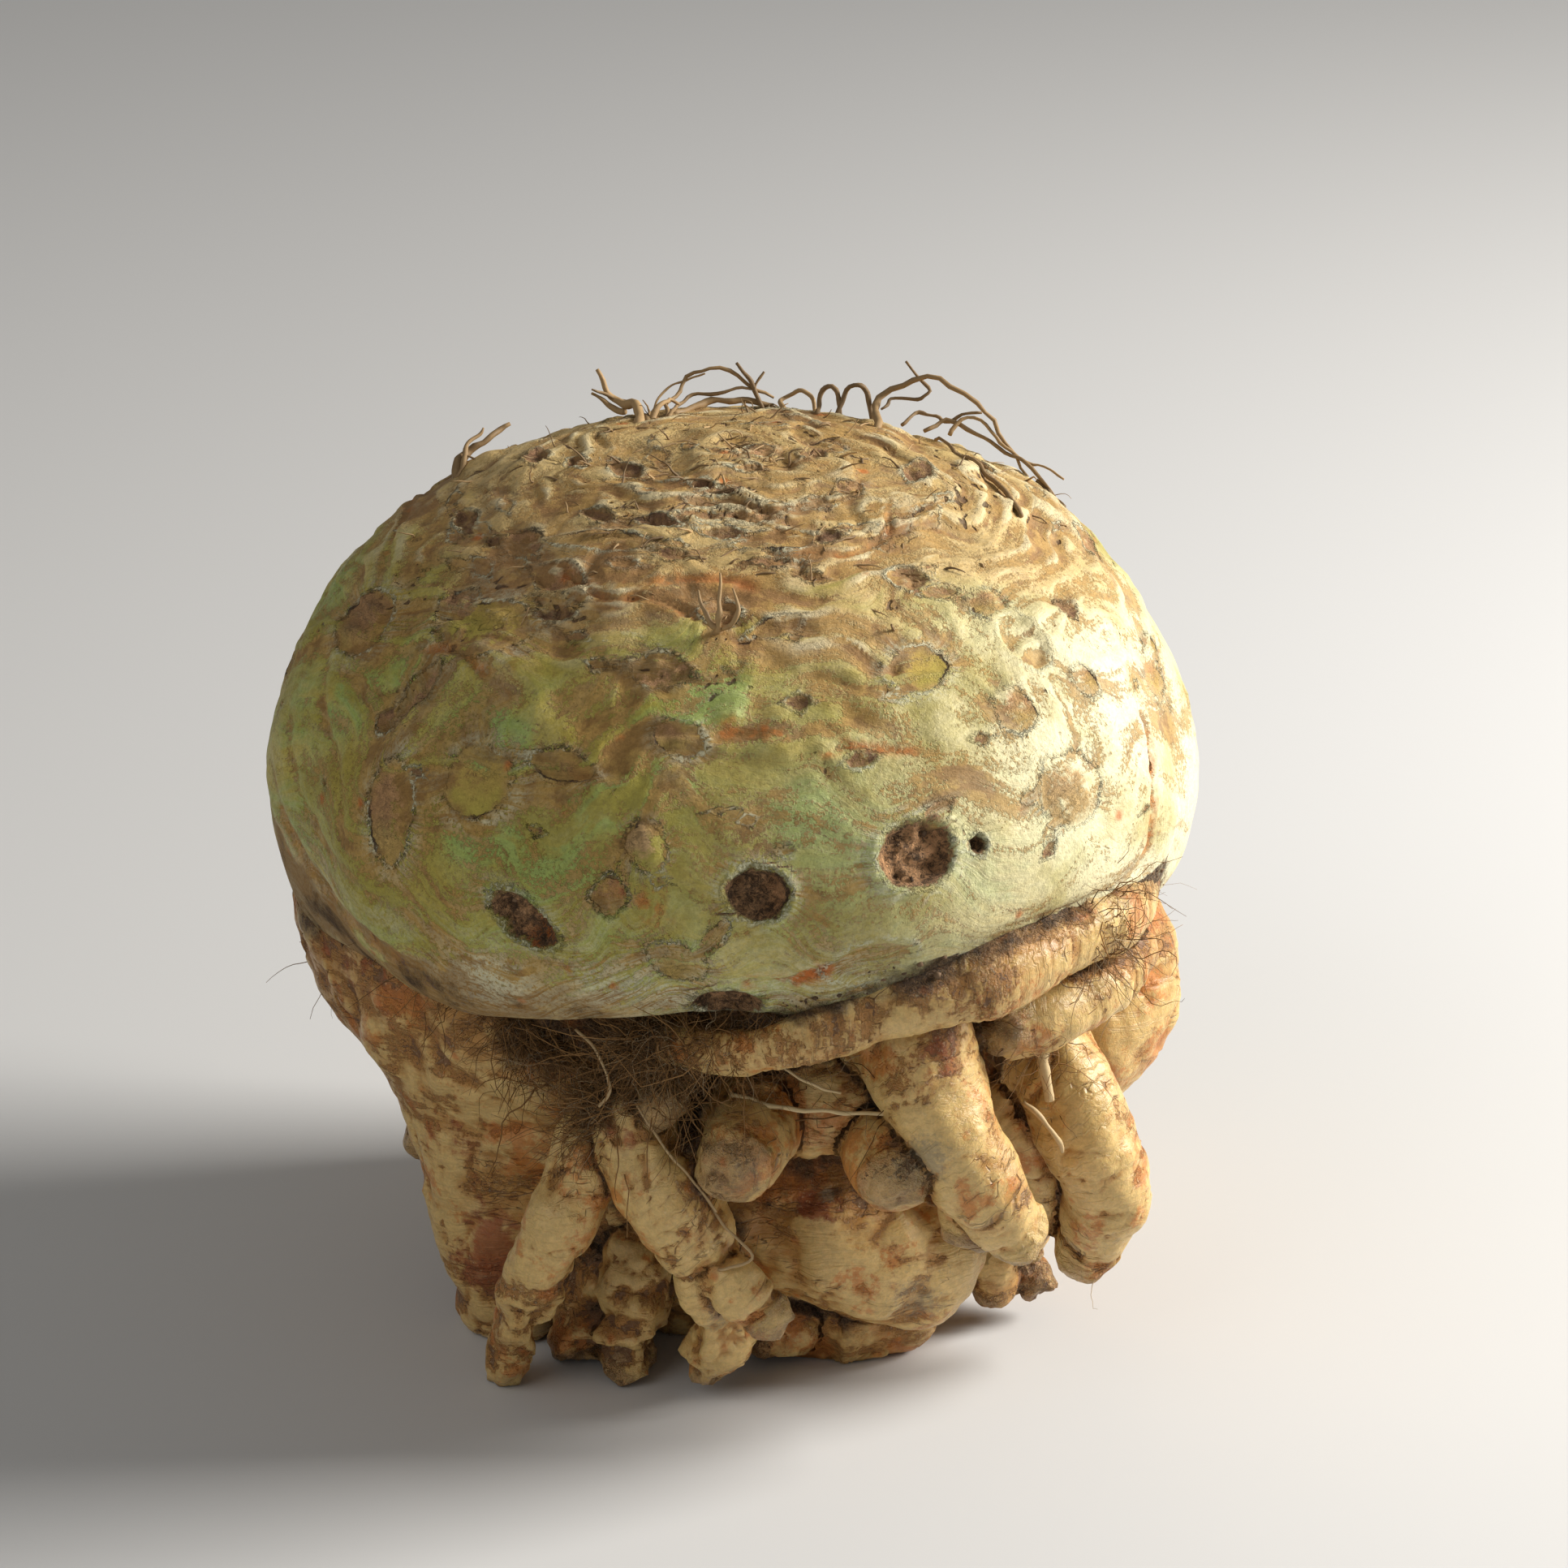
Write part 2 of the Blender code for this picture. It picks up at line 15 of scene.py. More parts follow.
import bpy
import numpy as np
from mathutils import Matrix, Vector

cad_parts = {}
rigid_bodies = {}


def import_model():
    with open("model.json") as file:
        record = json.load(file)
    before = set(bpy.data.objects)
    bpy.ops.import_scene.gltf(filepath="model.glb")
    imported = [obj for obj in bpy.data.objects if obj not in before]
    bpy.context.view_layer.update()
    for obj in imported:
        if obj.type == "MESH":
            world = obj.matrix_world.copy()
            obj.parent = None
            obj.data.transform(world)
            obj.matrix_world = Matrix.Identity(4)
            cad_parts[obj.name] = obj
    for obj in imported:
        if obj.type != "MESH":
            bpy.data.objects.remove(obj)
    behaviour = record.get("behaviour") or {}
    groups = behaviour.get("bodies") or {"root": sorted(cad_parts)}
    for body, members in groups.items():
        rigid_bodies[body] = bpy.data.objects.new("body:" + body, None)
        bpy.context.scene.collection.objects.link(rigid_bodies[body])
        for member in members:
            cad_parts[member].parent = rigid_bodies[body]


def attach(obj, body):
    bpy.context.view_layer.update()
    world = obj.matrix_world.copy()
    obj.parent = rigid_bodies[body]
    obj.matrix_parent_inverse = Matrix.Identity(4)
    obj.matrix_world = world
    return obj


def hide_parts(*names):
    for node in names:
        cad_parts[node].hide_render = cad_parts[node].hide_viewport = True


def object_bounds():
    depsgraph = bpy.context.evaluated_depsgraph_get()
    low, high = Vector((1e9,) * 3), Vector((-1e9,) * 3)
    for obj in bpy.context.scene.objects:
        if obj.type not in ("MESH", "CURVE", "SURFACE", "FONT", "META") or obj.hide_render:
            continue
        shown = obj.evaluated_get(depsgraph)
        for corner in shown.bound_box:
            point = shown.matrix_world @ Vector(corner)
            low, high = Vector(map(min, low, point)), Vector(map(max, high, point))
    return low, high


for leftover in list(bpy.data.objects):
    bpy.data.objects.remove(leftover)
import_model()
cad_box = [list(corner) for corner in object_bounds()]
MM = 0.001
print("solid's box:", [[round(c / MM, 1) for c in corner] for corner in cad_box], "mm")

# %% [markdown]
# ## Noise on arrays
#
# Skin is uneven at every scale. A lattice noise gives that: each corner of a grid of cells holds a number
# made from its own three whole coordinates, and a point's value is blended from its cell's eight corners.
# Blender's noise functions work on one point at a time, so this one is written for whole arrays.


# %% Noise helpers
def corner_values(cells, seed):
    """A number from -1 to 1 for each lattice corner.

    The three whole coordinates are multiplied by large odd numbers and added, then the sum's bits are mixed
    by shifting and multiplying.
    """
    x, y, z = (cells[..., i].astype(np.int64).astype(np.uint32) for i in range(3))
    mixed = x * np.uint32(0x8DA6B343) + y * np.uint32(0xD8163841) + z * np.uint32(0xCB1AB31F)
    mixed = mixed + np.uint32((seed * 0x165667B1) & 0xFFFFFFFF)
    for shift, factor in ((15, 0x2C1B3C6D), (12, 0x297A2D39)):
        mixed = (mixed ^ (mixed >> np.uint32(shift))) * np.uint32(factor)
    mixed ^= mixed >> np.uint32(15)
    return mixed.astype(np.float64) / 2**31 - 1


def noise(points, size, seed=0):
    """Smooth noise from -1 to 1 with lumps about one size wide.

    With f the place inside the cell, each axis blends by f^3 (6 f^2 - 15 f + 10), and the value is the
    blend of the cell's eight corner values.
    """
    scaled = points / size
    cell = np.floor(scaled)
    f = scaled - cell
    blend = f * f * f * (f * (6 * f - 15) + 10)
    total = 0
    for corner in np.ndindex(2, 2, 2):
        share = np.prod(np.where(corner, blend, 1 - blend), axis=-1)
        total = total + share * corner_values(cell + corner, seed)
    return total


def layered_noise(points, size, layers, seed=0):
    """Noise plus finer noise: each layer has half the size and half the height of the one before."""
    return sum(noise(points, size / 2**i, seed + i) / 2**i for i in range(layers))


def step_between(low, high, value):
    """0 below low, 1 above high, and t^2 (3 - 2 t) between them."""
    t = np.clip((value - low) / (high - low), 0, 1)
    return t * t * (3 - 2 * t)


def bump_of(distance):
    """1 in the middle, falling as exp(-distance^2)."""
    return np.exp(-distance * distance)


def length_of(vectors):
    """The length of each vector, kept as a last axis of one."""
    return np.linalg.norm(vectors, axis=-1, keepdims=True)


three_points = np.array([[0.2, 0.5, 0.9], [3.1, 0.4, 7.7], [9.5, 2.2, 1.1]])
print("noise at three points:", noise(three_points, 1.0).round(3))

# %% [markdown]
# ## Lines through hand-chosen points
#
# A root, a fibre and the bulb's outline are all smooth lines through a few points. A Catmull-Rom curve goes
# through every one of them, which a Bezier with free handles doesn't promise.


# %% Smooth lines and meshes
def smooth_line(points, places):
    """The Catmull-Rom curve through the points, read at places given as distances along the straight runs.

    Between two points, with t from 0 to 1: start + t/2 (end - before) + t^2/2 (2 before - 5 start + 4 end -
    after) + t^3/2 (3 start - 3 end + after - before).
    """
    points = np.asarray(points, float)
    ends = np.vstack([2 * points[0] - points[1], points, 2 * points[-1] - points[-2]])
    knots = run_lengths(points)
    k = np.clip(np.searchsorted(knots, places, side="right") - 1, 0, len(points) - 2)
    t = ((places - knots[k]) / np.diff(knots)[k])[:, None]
    before, start, end, after = ends[k], ends[k + 1], ends[k + 2], ends[k + 3]
    square = 2 * before - 5 * start + 4 * end - after
    cube = 3 * (start - end) + after - before
    return start + 0.5 * t * (end - before + t * (square + t * cube))


def run_lengths(points):
    """The distance of each point along the straight runs from the first."""
    runs = np.diff(np.asarray(points)[:, :3], axis=0)
    return np.concatenate([[0], np.cumsum(np.linalg.norm(runs, axis=1))])


def make_piece(name, points, *face_groups):
    """An object from points and arrays of faces. Each array holds faces with one number of corners."""
    mesh = bpy.data.meshes.new(name)
    mesh.from_pydata(points.tolist(), [], [face for group in face_groups for face in group.tolist()])
    mesh.shade_smooth()
    piece = bpy.data.objects.new(name, mesh)
    bpy.context.scene.collection.objects.link(piece)
    return piece


def ring_faces(rings, sides):
    """Quads between neighbouring rings of a (rings, sides) grid, numbered row by row."""
    i, j = np.meshgrid(np.arange(rings - 1), np.arange(sides), indexing="ij")
    k = (j + 1) % sides
    corners = [i * sides + j, i * sides + k, (i + 1) * sides + k, (i + 1) * sides + j]
    return np.stack(corners, -1).reshape(-1, 4)


def give_values(piece, **values):
    """Puts one number per point on the mesh under each name, for its material to read."""
    for name, numbers in values.items():
        attribute = piece.data.attributes.new(name, "FLOAT", "POINT")
        attribute.data.foreach_set("value", np.ascontiguousarray(numbers, np.float32))


def give_colours(piece, **values):
    """Puts one colour per point on the mesh under each name."""
    for name, colours in values.items():
        four = np.column_stack([colours, np.ones(len(colours))]).astype(np.float32)
        attribute = piece.data.attributes.new(name, "FLOAT_COLOR", "POINT")
        attribute.data.foreach_set("color", four.ravel())


def points_of(mesh, normals=False):
    """The mesh's points as an array, and their normals if asked."""
    places = np.empty(len(mesh.vertices) * 3, np.float32)
    mesh.vertices.foreach_get("co", places)
    if not normals:
        return places.reshape(-1, 3).astype(float)
    directions = np.empty_like(places)
    mesh.vertex_normals.foreach_get("vector", directions)
    return places.reshape(-1, 3).astype(float), directions.reshape(-1, 3).astype(float)


def move_points(piece, points):
    """Puts new places on the mesh's points."""
    piece.data.vertices.foreach_set("co", np.ascontiguousarray(points, np.float32).ravel())
    piece.data.update()


def extent_mm(points):
    """The lowest and the highest corner of the points' box, in millimetres."""
    return (points.min(axis=0) / MM).round(1), (points.max(axis=0) / MM).round(1)


def evaluated_copy(piece):
    """The piece's mesh with its modifiers worked in."""
    bpy.context.view_layer.update()
    return bpy.data.meshes.new_from_object(piece.evaluated_get(bpy.context.evaluated_depsgraph_get()))


def nearest_places(points, target):
    """The nearest place on the target's surface for each point, by a Shrinkwrap modifier on loose points."""
    probe = make_piece("probe", points)
    wrap = probe.modifiers.new("to surface", "SHRINKWRAP")
    wrap.target = target
    wrap.wrap_method = "NEAREST_SURFACEPOINT"
    found = points_of(evaluated_copy(probe))
    bpy.data.objects.remove(probe)
    return found


print("helpers for lines and meshes are ready")

# %% [markdown]
# ## The bulb's form
#
# Without its scars the bulb is a turned shape, like a flattened onion with a folded lip. It is swollen here
# and there, its lip rises over one root and hangs down the other side, and its crown sits a little behind
# its axis.
#
# The grid's columns are closer together on the side with the most scars, so the same number of points shows
# more.

# %% The bulb's outline and swellings
BULB_PROFILE_MM = [
    (0, 122.5), (14, 122), (28, 119.6), (41.5, 113.4), (52.5, 104), (59.6, 94.5), (63.2, 86.5), (64.2, 79),
    (62.6, 72), (59.4, 66.6), (55.5, 64), (50, 65), (40, 68), (20, 70), (0, 70),
]
LIP_POINT = 10  # the profile's point where the lip turns under
BULB_COLUMNS = 420
OUTER_ROWS = 188
UNDER_ROWS = 32
FRONT_AZIMUTH = radians(-90)
COLUMN_CROWDING = 0.35
CROWN_SHIFT = np.array([1.5, 10]) * MM
BULB_MIDDLE = np.array([0, 0, 80]) * MM
BULB_TOP_Z = 122.5 * MM
BULB_DEPTH_SHARE = 0.97

# Swellings and hollows as (azimuth, height, half width, half height, rise), in degrees and millimetres.
BULB_SWELLS = [
    (8, 110, 34, 12, 2.0), (-4, 76, 20, 12, 1.0), (168, 108, 34, 14, 2.2), (206, 84, 9, 18, -1.6),
    (-42, 98, 26, 16, 2.0), (-88, 88, 14, 22, -1.4), (-122, 92, 24, 16, 1.2), (-14, 84, 7, 20, -1.4),
    (22, 96, 18, 18, 1.6), (58, 82, 12, 22, -1.8), (92, 90, 22, 18, 1.8), (134, 84, 14, 20, -1.6),
]
# Where the lip rises above or hangs below its mean height: (azimuth, half width, rise), degrees and
# millimetres.
LIP_WAVES = [
    (-45, 20, 6), (-6, 16, -5), (-128, 18, -3), (-92, 14, 2), (176, 30, -6), (60, 22, 4), (130, 18, -4),
]
LIP_WAVE_TOP_Z = 80 * MM
LIP_WAVE_FULL_Z = 66 * MM
SIDE_RADIUS = 40 * MM


def turned(degrees):
    """An angle brought between -180 and 180."""
    return (degrees + 180) % 360 - 180


def bulb_surface(azimuth, radius, height):
    """The turned profile made uneven.

    reach = radius + the sum of rise * side * exp(-(angle / half width)^2) * exp(-(climb / half height)^2),
    where side grows from 0 at the axis to 1 at 40 mm. The lip's waves add to the height, and the crown is
    shifted by the square of its share of the way up.
    """
    degrees = np.degrees(azimuth)
    side = np.clip(radius / SIDE_RADIUS, 0, 1)
    reach = radius.copy()
    for middle, level, half_width, half_height, rise in BULB_SWELLS:
        across, up = turned(degrees - middle) / half_width, (height - level * MM) / (half_height * MM)
        reach += rise * MM * side * bump_of(across) * bump_of(up)
    lip = side * (1 - step_between(LIP_WAVE_FULL_Z, LIP_WAVE_TOP_Z, height))
    rise = sum(
        wave * MM * bump_of(turned(degrees - middle) / half_width) for middle, half_width, wave in LIP_WAVES
    )
    shift = np.clip((height - BULB_MIDDLE[2]) / (BULB_TOP_Z - BULB_MIDDLE[2]), 0, 1) ** 2
    x = reach * np.cos(azimuth) + CROWN_SHIFT[0] * shift
    y = reach * np.sin(azimuth) * BULB_DEPTH_SHARE + CROWN_SHIFT[1] * shift
    return np.stack([x, y, height + lip * rise], axis=-1)


print(len(BULB_SWELLS), "swellings and", len(LIP_WAVES), "waves of the lip")

# %% [markdown]
# The turned profile is read at even steps down the side and laid on a grid of rows and columns. The grid
# closes on itself, and a fan of triangles round one point closes it at each pole.

# %% Lay the bulb's grid
bulb_knots = run_lengths(np.array(BULB_PROFILE_MM) * MM)
down = np.concatenate([
    np.linspace(0, bulb_knots[LIP_POINT], OUTER_ROWS, endpoint=False),
    np.linspace(bulb_knots[LIP_POINT], bulb_knots[-1], UNDER_ROWS),
])
profile = smooth_line(np.array(BULB_PROFILE_MM) * MM, down)
even = np.arange(BULB_COLUMNS) * 2 * pi / BULB_COLUMNS
bulb_azimuth = FRONT_AZIMUTH + even - COLUMN_CROWDING * np.sin(even)
column_azimuth, row_radius = np.meshgrid(bulb_azimuth, profile[1:-1, 0])
row_height = np.repeat(profile[1:-1, 1:2], BULB_COLUMNS, axis=1)
bulb_grid = bulb_surface(column_azimuth, row_radius, row_height)
poles = np.array([bulb_surface(np.zeros(1), np.zeros(1), profile[end, 1:2])[0] for end in (0, -1)])


def grid_normals(grid):
    """Outward normals of a grid that closes on itself across: the cross product of its two differences."""
    across = np.roll(grid, -1, axis=1) - np.roll(grid, 1, axis=1)
    normals = np.cross(np.gradient(grid, axis=0), across)
    return normals / np.maximum(length_of(normals), 1e-12)


bulb_normals = grid_normals(bulb_grid)
bulb_normals *= np.sign(np.median(np.sum(bulb_normals * (bulb_grid - BULB_MIDDLE), axis=-1)))
bulb_points = np.vstack([bulb_grid.reshape(-1, 3), poles])
bulb_out = np.vstack([bulb_normals.reshape(-1, 3), [[0, 0, 1], [0, 0, -1]]])
down_the_side = np.append(np.repeat(down[1:-1], BULB_COLUMNS), [0, down[-1]])
row_count = len(bulb_grid)
column = np.arange(BULB_COLUMNS)
next_column = (column + 1) % BULB_COLUMNS
top_pole = np.full(BULB_COLUMNS, len(bulb_points) - 2)
bottom_pole = top_pole + 1
last_row = (row_count - 1) * BULB_COLUMNS
pole_fans = [
    np.stack([top_pole, next_column, column], -1),
    np.stack([bottom_pole, last_row + column, last_row + next_column], -1),
]
bulb = make_piece("bulb", bulb_points, ring_faces(row_count, BULB_COLUMNS)[:, ::-1], *pole_fans)
print("bulb grid:", bulb_grid.shape[:2], "points,", len(bulb.data.polygons), "faces")

# %% [markdown]
# ## The knot of roots
#
# Under the bulb some thirty thick roots leave one core. Each is a tube along a smooth line, with its own
# radius at every point. The tubes run into each other, and a real root has no seams there, so the tubes and
# the core are joined by a voxel Remesh, which keeps only their common outer skin. A Boolean would keep
# every sharp seam.

# %% Routes of the roots
# Each is a route of (x, y, z, radius) in millimetres, from inside the core outwards to its tip.
ROOTS_MM = {
    "left_buttress": [
        (-28, -4, 60, 15), (-33, -10, 46, 15), (-31.5, -14, 32, 13.5), (-31, -16, 19, 13), (-31, -17, 6, 9),
    ],
    "left_neck": [(-28, 4, 66, 14), (-42.5, 0, 56, 15.5), (-36, -2, 44, 14), (-32, -3, 34, 12.5)],
    "left_prop": [
        (-6, -26, 52, 6), (-16, -37, 43, 5.6), (-22, -43, 33, 5.2), (-26.5, -43, 21, 4.8), (-30, -37, 9, 4.0),
        (-31, -33, 0, 3.2),
    ],
    "middle_fork": [
        (-2, -28, 56, 7), (-11, -40, 50, 6), (-12.5, -45, 42, 5.6), (-8.5, -47, 34, 6), (-3, -46, 26, 5),
        (-1, -42, 15, 4), (-1, -38, 5, 3.8),
    ],
    "fork_finger": [(-9, -40, 33, 5), (-3, -47, 27, 4), (1.5, -49, 23, 3.6), (5.5, -49, 19.5, 3.4)],
    "fork_knuckle": [(-4, -30, 56, 5), (-9, -42, 51, 4.6), (-9, -47, 49, 3.6)],
    "left_knob": [(10, -24, 46, 9), (5, -38, 44.5, 7.4), (1.5, -47, 43, 6.4), (0.5, -49.5, 42.4, 5.8)],
    "right_knob": [(16, -24, 44, 9), (20, -38, 42, 7), (22.5, -46.5, 40.5, 6), (23.2, -49, 40, 5.4)],
    "knob_bridge": [(0, -30, 50, 8), (11, -37, 46, 8.5), (22, -34, 46, 8)],
    "right_claw": [
        (18, -30, 62, 11), (24, -42, 57, 9.5), (27.5, -46.5, 50, 7.6), (31, -49, 43, 6.2), (36, -49, 36, 5.6),
        (39, -47, 30, 4.6),
    ],
    "claw_toe": [(30, -44, 43, 5), (34, -46, 36, 4.6), (34.5, -45, 30.5, 3.8)],
    "right_hook": [
        (34, -14, 52, 9), (42, -24, 47, 7), (47.5, -29, 40, 6.2), (51.5, -30, 31, 6.1), (52, -28, 23, 5.8),
        (50.5, -25, 16, 4.8),
    ],
    "belt": [
        (40, -2, 68, 8), (52, -19, 68, 6.5), (50, -35, 70.5, 5.8), (41, -45.5, 70.5, 5.3),
        (31, -51.5, 68.5, 4.6),
        (20, -54.5, 65, 4.0), (8, -55.5, 61, 3.6), (-1, -52, 58.5, 3.4), (-10, -48, 58.5, 3.2),
    ],
    "belt_under": [
        (40, -4, 61, 8), (52, -19, 63, 6.2), (51, -31, 61, 5.4), (44, -39, 58.5, 5.0), (39, -41, 58, 4.6),
    ],
    "right_lobe": [(32, 6, 60, 13), (47, 1, 52, 13), (50.5, -1, 42, 11.5), (47, -2, 31, 8.5)],
    "bottom_lobe": [(-6, -16, 26, 14), (8, -25, 25, 13), (18, -29, 20.5, 11.5), (25, -28, 17, 10)],
    "bottom_shelf": [(-2, -10, 8, 14), (8, -17, 7, 11), (17, -22, 6, 8), (23, -21, 6, 6)],
    "shelf_toe": [(0, -16, 8, 8), (8, -27, 5.5, 5), (5, -30, 4.5, 3.4)],
    "left_cluster_a": [(-8, -12, 14, 10), (-16, -22, 12, 8), (-19, -27, 8, 5.5), (-21, -28, 4, 4)],
    "left_cluster_b": [(-6, -16, 18, 9), (-12, -28, 17, 6.5), (-14, -31, 11, 5), (-14, -30, 5, 4.5)],
    "right_cluster_a": [(22, -8, 26, 9), (33, -14, 19, 6), (37, -17, 12, 4.4), (37, -16, 6, 3.6)],
    "right_cluster_b": [(24, -4, 22, 9), (36, -9, 12, 5.5), (43, -13, 6.5, 4)],
    "right_stem": [(30, -14, 48, 7), (40, -24, 36, 4.6), (43, -22, 25, 4.2), (42, -17, 14, 4)],
    "back_prop_right": [
        (20, 16, 54, 12), (36, 24, 44, 9), (42, 27, 30, 7.5), (40, 24, 16, 6), (36, 20, 4, 4.5),
    ],
    "back_claw": [(6, 26, 56, 11), (12, 42, 48, 8.5), (14, 47, 36, 7), (9, 45, 24, 6), (2, 39, 14, 4.6)],
    "back_fork": [
        (-14, 24, 54, 12), (-22, 38, 44, 9), (-24, 41, 31, 7.6), (-20, 37, 18, 6.4), (-18, 31, 5, 5),
    ],
    "back_knob": [(0, 24, 34, 9), (-3, 38, 30, 7), (-4, 43, 27, 5.6)],
    "back_belt": [(46, 8, 62, 8), (44, 26, 64, 6.4), (33, 40, 63, 5.4), (19, 48, 62, 4.6), (6, 50, 59, 3.8)],
    "left_back_lobe": [
        (-26, 12, 56, 14), (-36, 14, 46, 12.5), (-36, 14, 33, 10), (-33, 12, 20, 8.5), (-29, 8, 7, 7),
    ],
    "back_lobe": [(14, 28, 40, 13), (24, 35, 29, 11.5), (21, 33, 17, 10), (14, 27, 5, 8)],
    "back_knuckle": [(-8, 28, 38, 12), (-11, 38, 25, 9.5), (-9, 34, 11, 8)],
    "right_back_knob": [(34, 8, 30, 10), (43, 12, 26, 8), (46, 13, 23, 6.5)],
    "left_back_knob": [(-32, 8, 30, 8), (-42, 8, 24, 5.5), (-44, 6, 19, 4.4)],
    "base_mass": [(-8, -4, 22, 19), (-2, -2, 12, 19), (4, 0, 4, 17)],
    "base_back": [(0, 8, 24, 17), (-6, 18, 14, 12), (-8, 22, 6, 8)],
}
# Swollen forms that melt into the core, so they have no worn tip and no rings.
MASSES = (
    "base_mass", "base_back", "bottom_lobe", "bottom_shelf", "left_neck", "left_buttress", "knob_bridge",
)
CORE_PROFILE_MM = [
    (0, 74), (34, 73), (50, 66), (53.5, 56), (51.5, 46), (46, 36), (41, 25), (37, 14), (30, 5), (18, -1),
    (0, -5),
]
# Where the core is wider or narrower than its profile: (azimuth, half width, share), in degrees.
CORE_REACH = [(180, 46, 0.04), (-90, 44, -0.20), (0, 40, -0.08), (-35, 26, -0.10), (135, 30, 0.04)]
CORE_Y = 2 * MM
CORE_COLUMNS, CORE_ROWS = 120, 60
ROOT_SIDES = 24
ROOT_STEP = 1.4 * MM
TIP_RINGS = 7
print(len(ROOTS_MM), "roots")

# %% [markdown]
# A tube needs a pair of directions across its line at every point. If each pair is worked out from the one
# before it, the tube doesn't twist. The same functions serve the thickest root and the finest hair.


# %% Tubes along lines
def carried_frames(lines):
    """Directions along and across lines of shape (lines, points, 3).

    The first across is the cross product of along and a helper. Each later one is the one before it less its
    share along the line, so the tube doesn't twist.
    """
    along = np.gradient(lines, axis=1)
    along /= np.maximum(length_of(along), 1e-12)
    helper = np.where(np.abs(along[:, 0, 2:3]) < 0.8, [[0.0, 0.0, 1.0]], [[1.0, 0.0, 0.0]])
    across = [np.cross(along[:, 0], helper)]
    for direction in along.transpose(1, 0, 2)[1:]:
        across.append(across[-1] - direction * np.sum(across[-1] * direction, axis=-1, keepdims=True))
    across = np.stack(across, axis=1)
    across /= np.maximum(length_of(across), 1e-12)
    return along, across, np.cross(along, across)


def tube_rings(lines, radii, sides):
    """Rings round the lines: centre + radius * (cos(turn) * across + sin(turn) * over)."""
    _, across, over = carried_frames(lines)
    turn = np.arange(sides) * 2 * pi / sides
    spokes = np.cos(turn)[:, None] * across[:, :, None] + np.sin(turn)[:, None] * over[:, :, None]
    return lines[:, :, None] + radii[:, :, None, None] * spokes


def tube_faces(count, rings, sides):
    """Quads and both end caps of many tubes that have the same number of rings."""
    first = np.arange(count)[:, None, None] * rings * sides
    walls = (first + ring_faces(rings, sides)[None]).reshape(-1, 4)
    start_caps = first[:, :, 0] + np.arange(sides)[::-1]
    end_caps = first[:, :, 0] + (rings - 1) * sides + np.arange(sides)
    return walls, np.vstack([start_caps, end_caps])


def domed(route_mm):
    """A root's centre line and radii, with rings past its end that shrink as a half circle does.

    At angle a from 0 to 90 degrees the ring is radius * sin(a) past the end, and radius * cos(a) wide.
    """
    route = np.asarray(route_mm, float) * MM
    knots = run_lengths(route)
    line = smooth_line(route, np.linspace(0, knots[-1], max(6, round(knots[-1] / ROOT_STEP))))
    along = line[-1, :3] - line[-2, :3]
    angle = np.linspace(0, pi / 2, TIP_RINGS + 1)[1:] * 0.98
    tip = line[-1, :3] + np.sin(angle)[:, None] * line[-1, 3] * along / np.linalg.norm(along)
    return np.vstack([line, np.column_stack([tip, np.cos(angle) * line[-1, 3]])])


def core_surface(azimuth, radius, height):
    """The core's turned profile. On each side its radius grows by the share that CORE_REACH gives there."""
    degrees = np.degrees(azimuth)
    share = 1 + sum(reach * bump_of(turned(degrees - middle) / half) for middle, half, reach in CORE_REACH)
    reached = radius * share
    return np.stack([reached * np.cos(azimuth), reached * np.sin(azimuth) + CORE_Y, height], axis=-1)


print("tubes have", ROOT_SIDES, "sides and a ring every", ROOT_STEP / MM, "mm")

# %% [markdown]
# The voxels are a little under a millimetre wide. The Smooth modifier after them takes the steps off that
# voxels leave on slopes.

# %% Join the core and the roots into one skin
KNOT_VOXEL = 0.87 * MM
KNOT_SMOOTHING = 2
core_knots = run_lengths(np.array(CORE_PROFILE_MM) * MM)
core_profile = smooth_line(np.array(CORE_PROFILE_MM) * MM, np.linspace(0, core_knots[-1], CORE_ROWS))
core_profile[[0, -1], 0] = 0.2 * MM
core_azimuth, core_radius = np.meshgrid(np.arange(CORE_COLUMNS) * 2 * pi / CORE_COLUMNS, core_profile[:, 0])
core_grid = core_surface(core_azimuth, core_radius, np.repeat(core_profile[:, 1:], CORE_COLUMNS, axis=1))
root_lines = {name: domed(route) for name, route in ROOTS_MM.items()}

knot_points, knot_faces = [core_grid.reshape(-1, 3)], list(tube_faces(1, CORE_ROWS, CORE_COLUMNS))
for line in root_lines.values():
    rings = tube_rings(line[None, :, :3], line[None, :, 3], ROOT_SIDES)[0]
    start = sum(len(p) for p in knot_points)
    knot_points.append(rings.reshape(-1, 3))
    knot_faces.extend(start + faces for faces in tube_faces(1, len(line), ROOT_SIDES))
rough_knot = make_piece("rough_knot", np.vstack(knot_points), *knot_faces)
joined = rough_knot.modifiers.new("one skin", "REMESH")
joined.mode = "VOXEL"
joined.voxel_size = KNOT_VOXEL
calmed = rough_knot.modifiers.new("calmed", "SMOOTH")
calmed.factor = 0.5
calmed.iterations = KNOT_SMOOTHING
knot_mesh = evaluated_copy(rough_knot)
knot_mesh.name = "root_knot"
knot = bpy.data.objects.new("root_knot", knot_mesh)
bpy.context.scene.collection.objects.link(knot)
bpy.data.objects.remove(rough_knot)
knot_points, knot_out = points_of(knot.data, normals=True)
print("knot of roots:", len(knot_points), "points,", len(knot.data.polygons), "faces")

# %% [markdown]
# Soil and cork stay in hollows, and ridges are rubbed clean; colour made darker in hollows is also painted
# shade, and ivory on the bulb's ridges also a painted highlight. To know which is which, the points are
# replaced by the mean of their neighbours many times over. That gives a calm surface, and a point that lies
# under it is in a hollow.


# %% Hollows of a surface
def joined_pairs(mesh):
    """The two points of every edge."""
    pairs = np.empty(2 * len(mesh.edges), dtype=np.int32)
    mesh.edges.foreach_get("vertices", pairs)
    return pairs.reshape(-1, 2).T


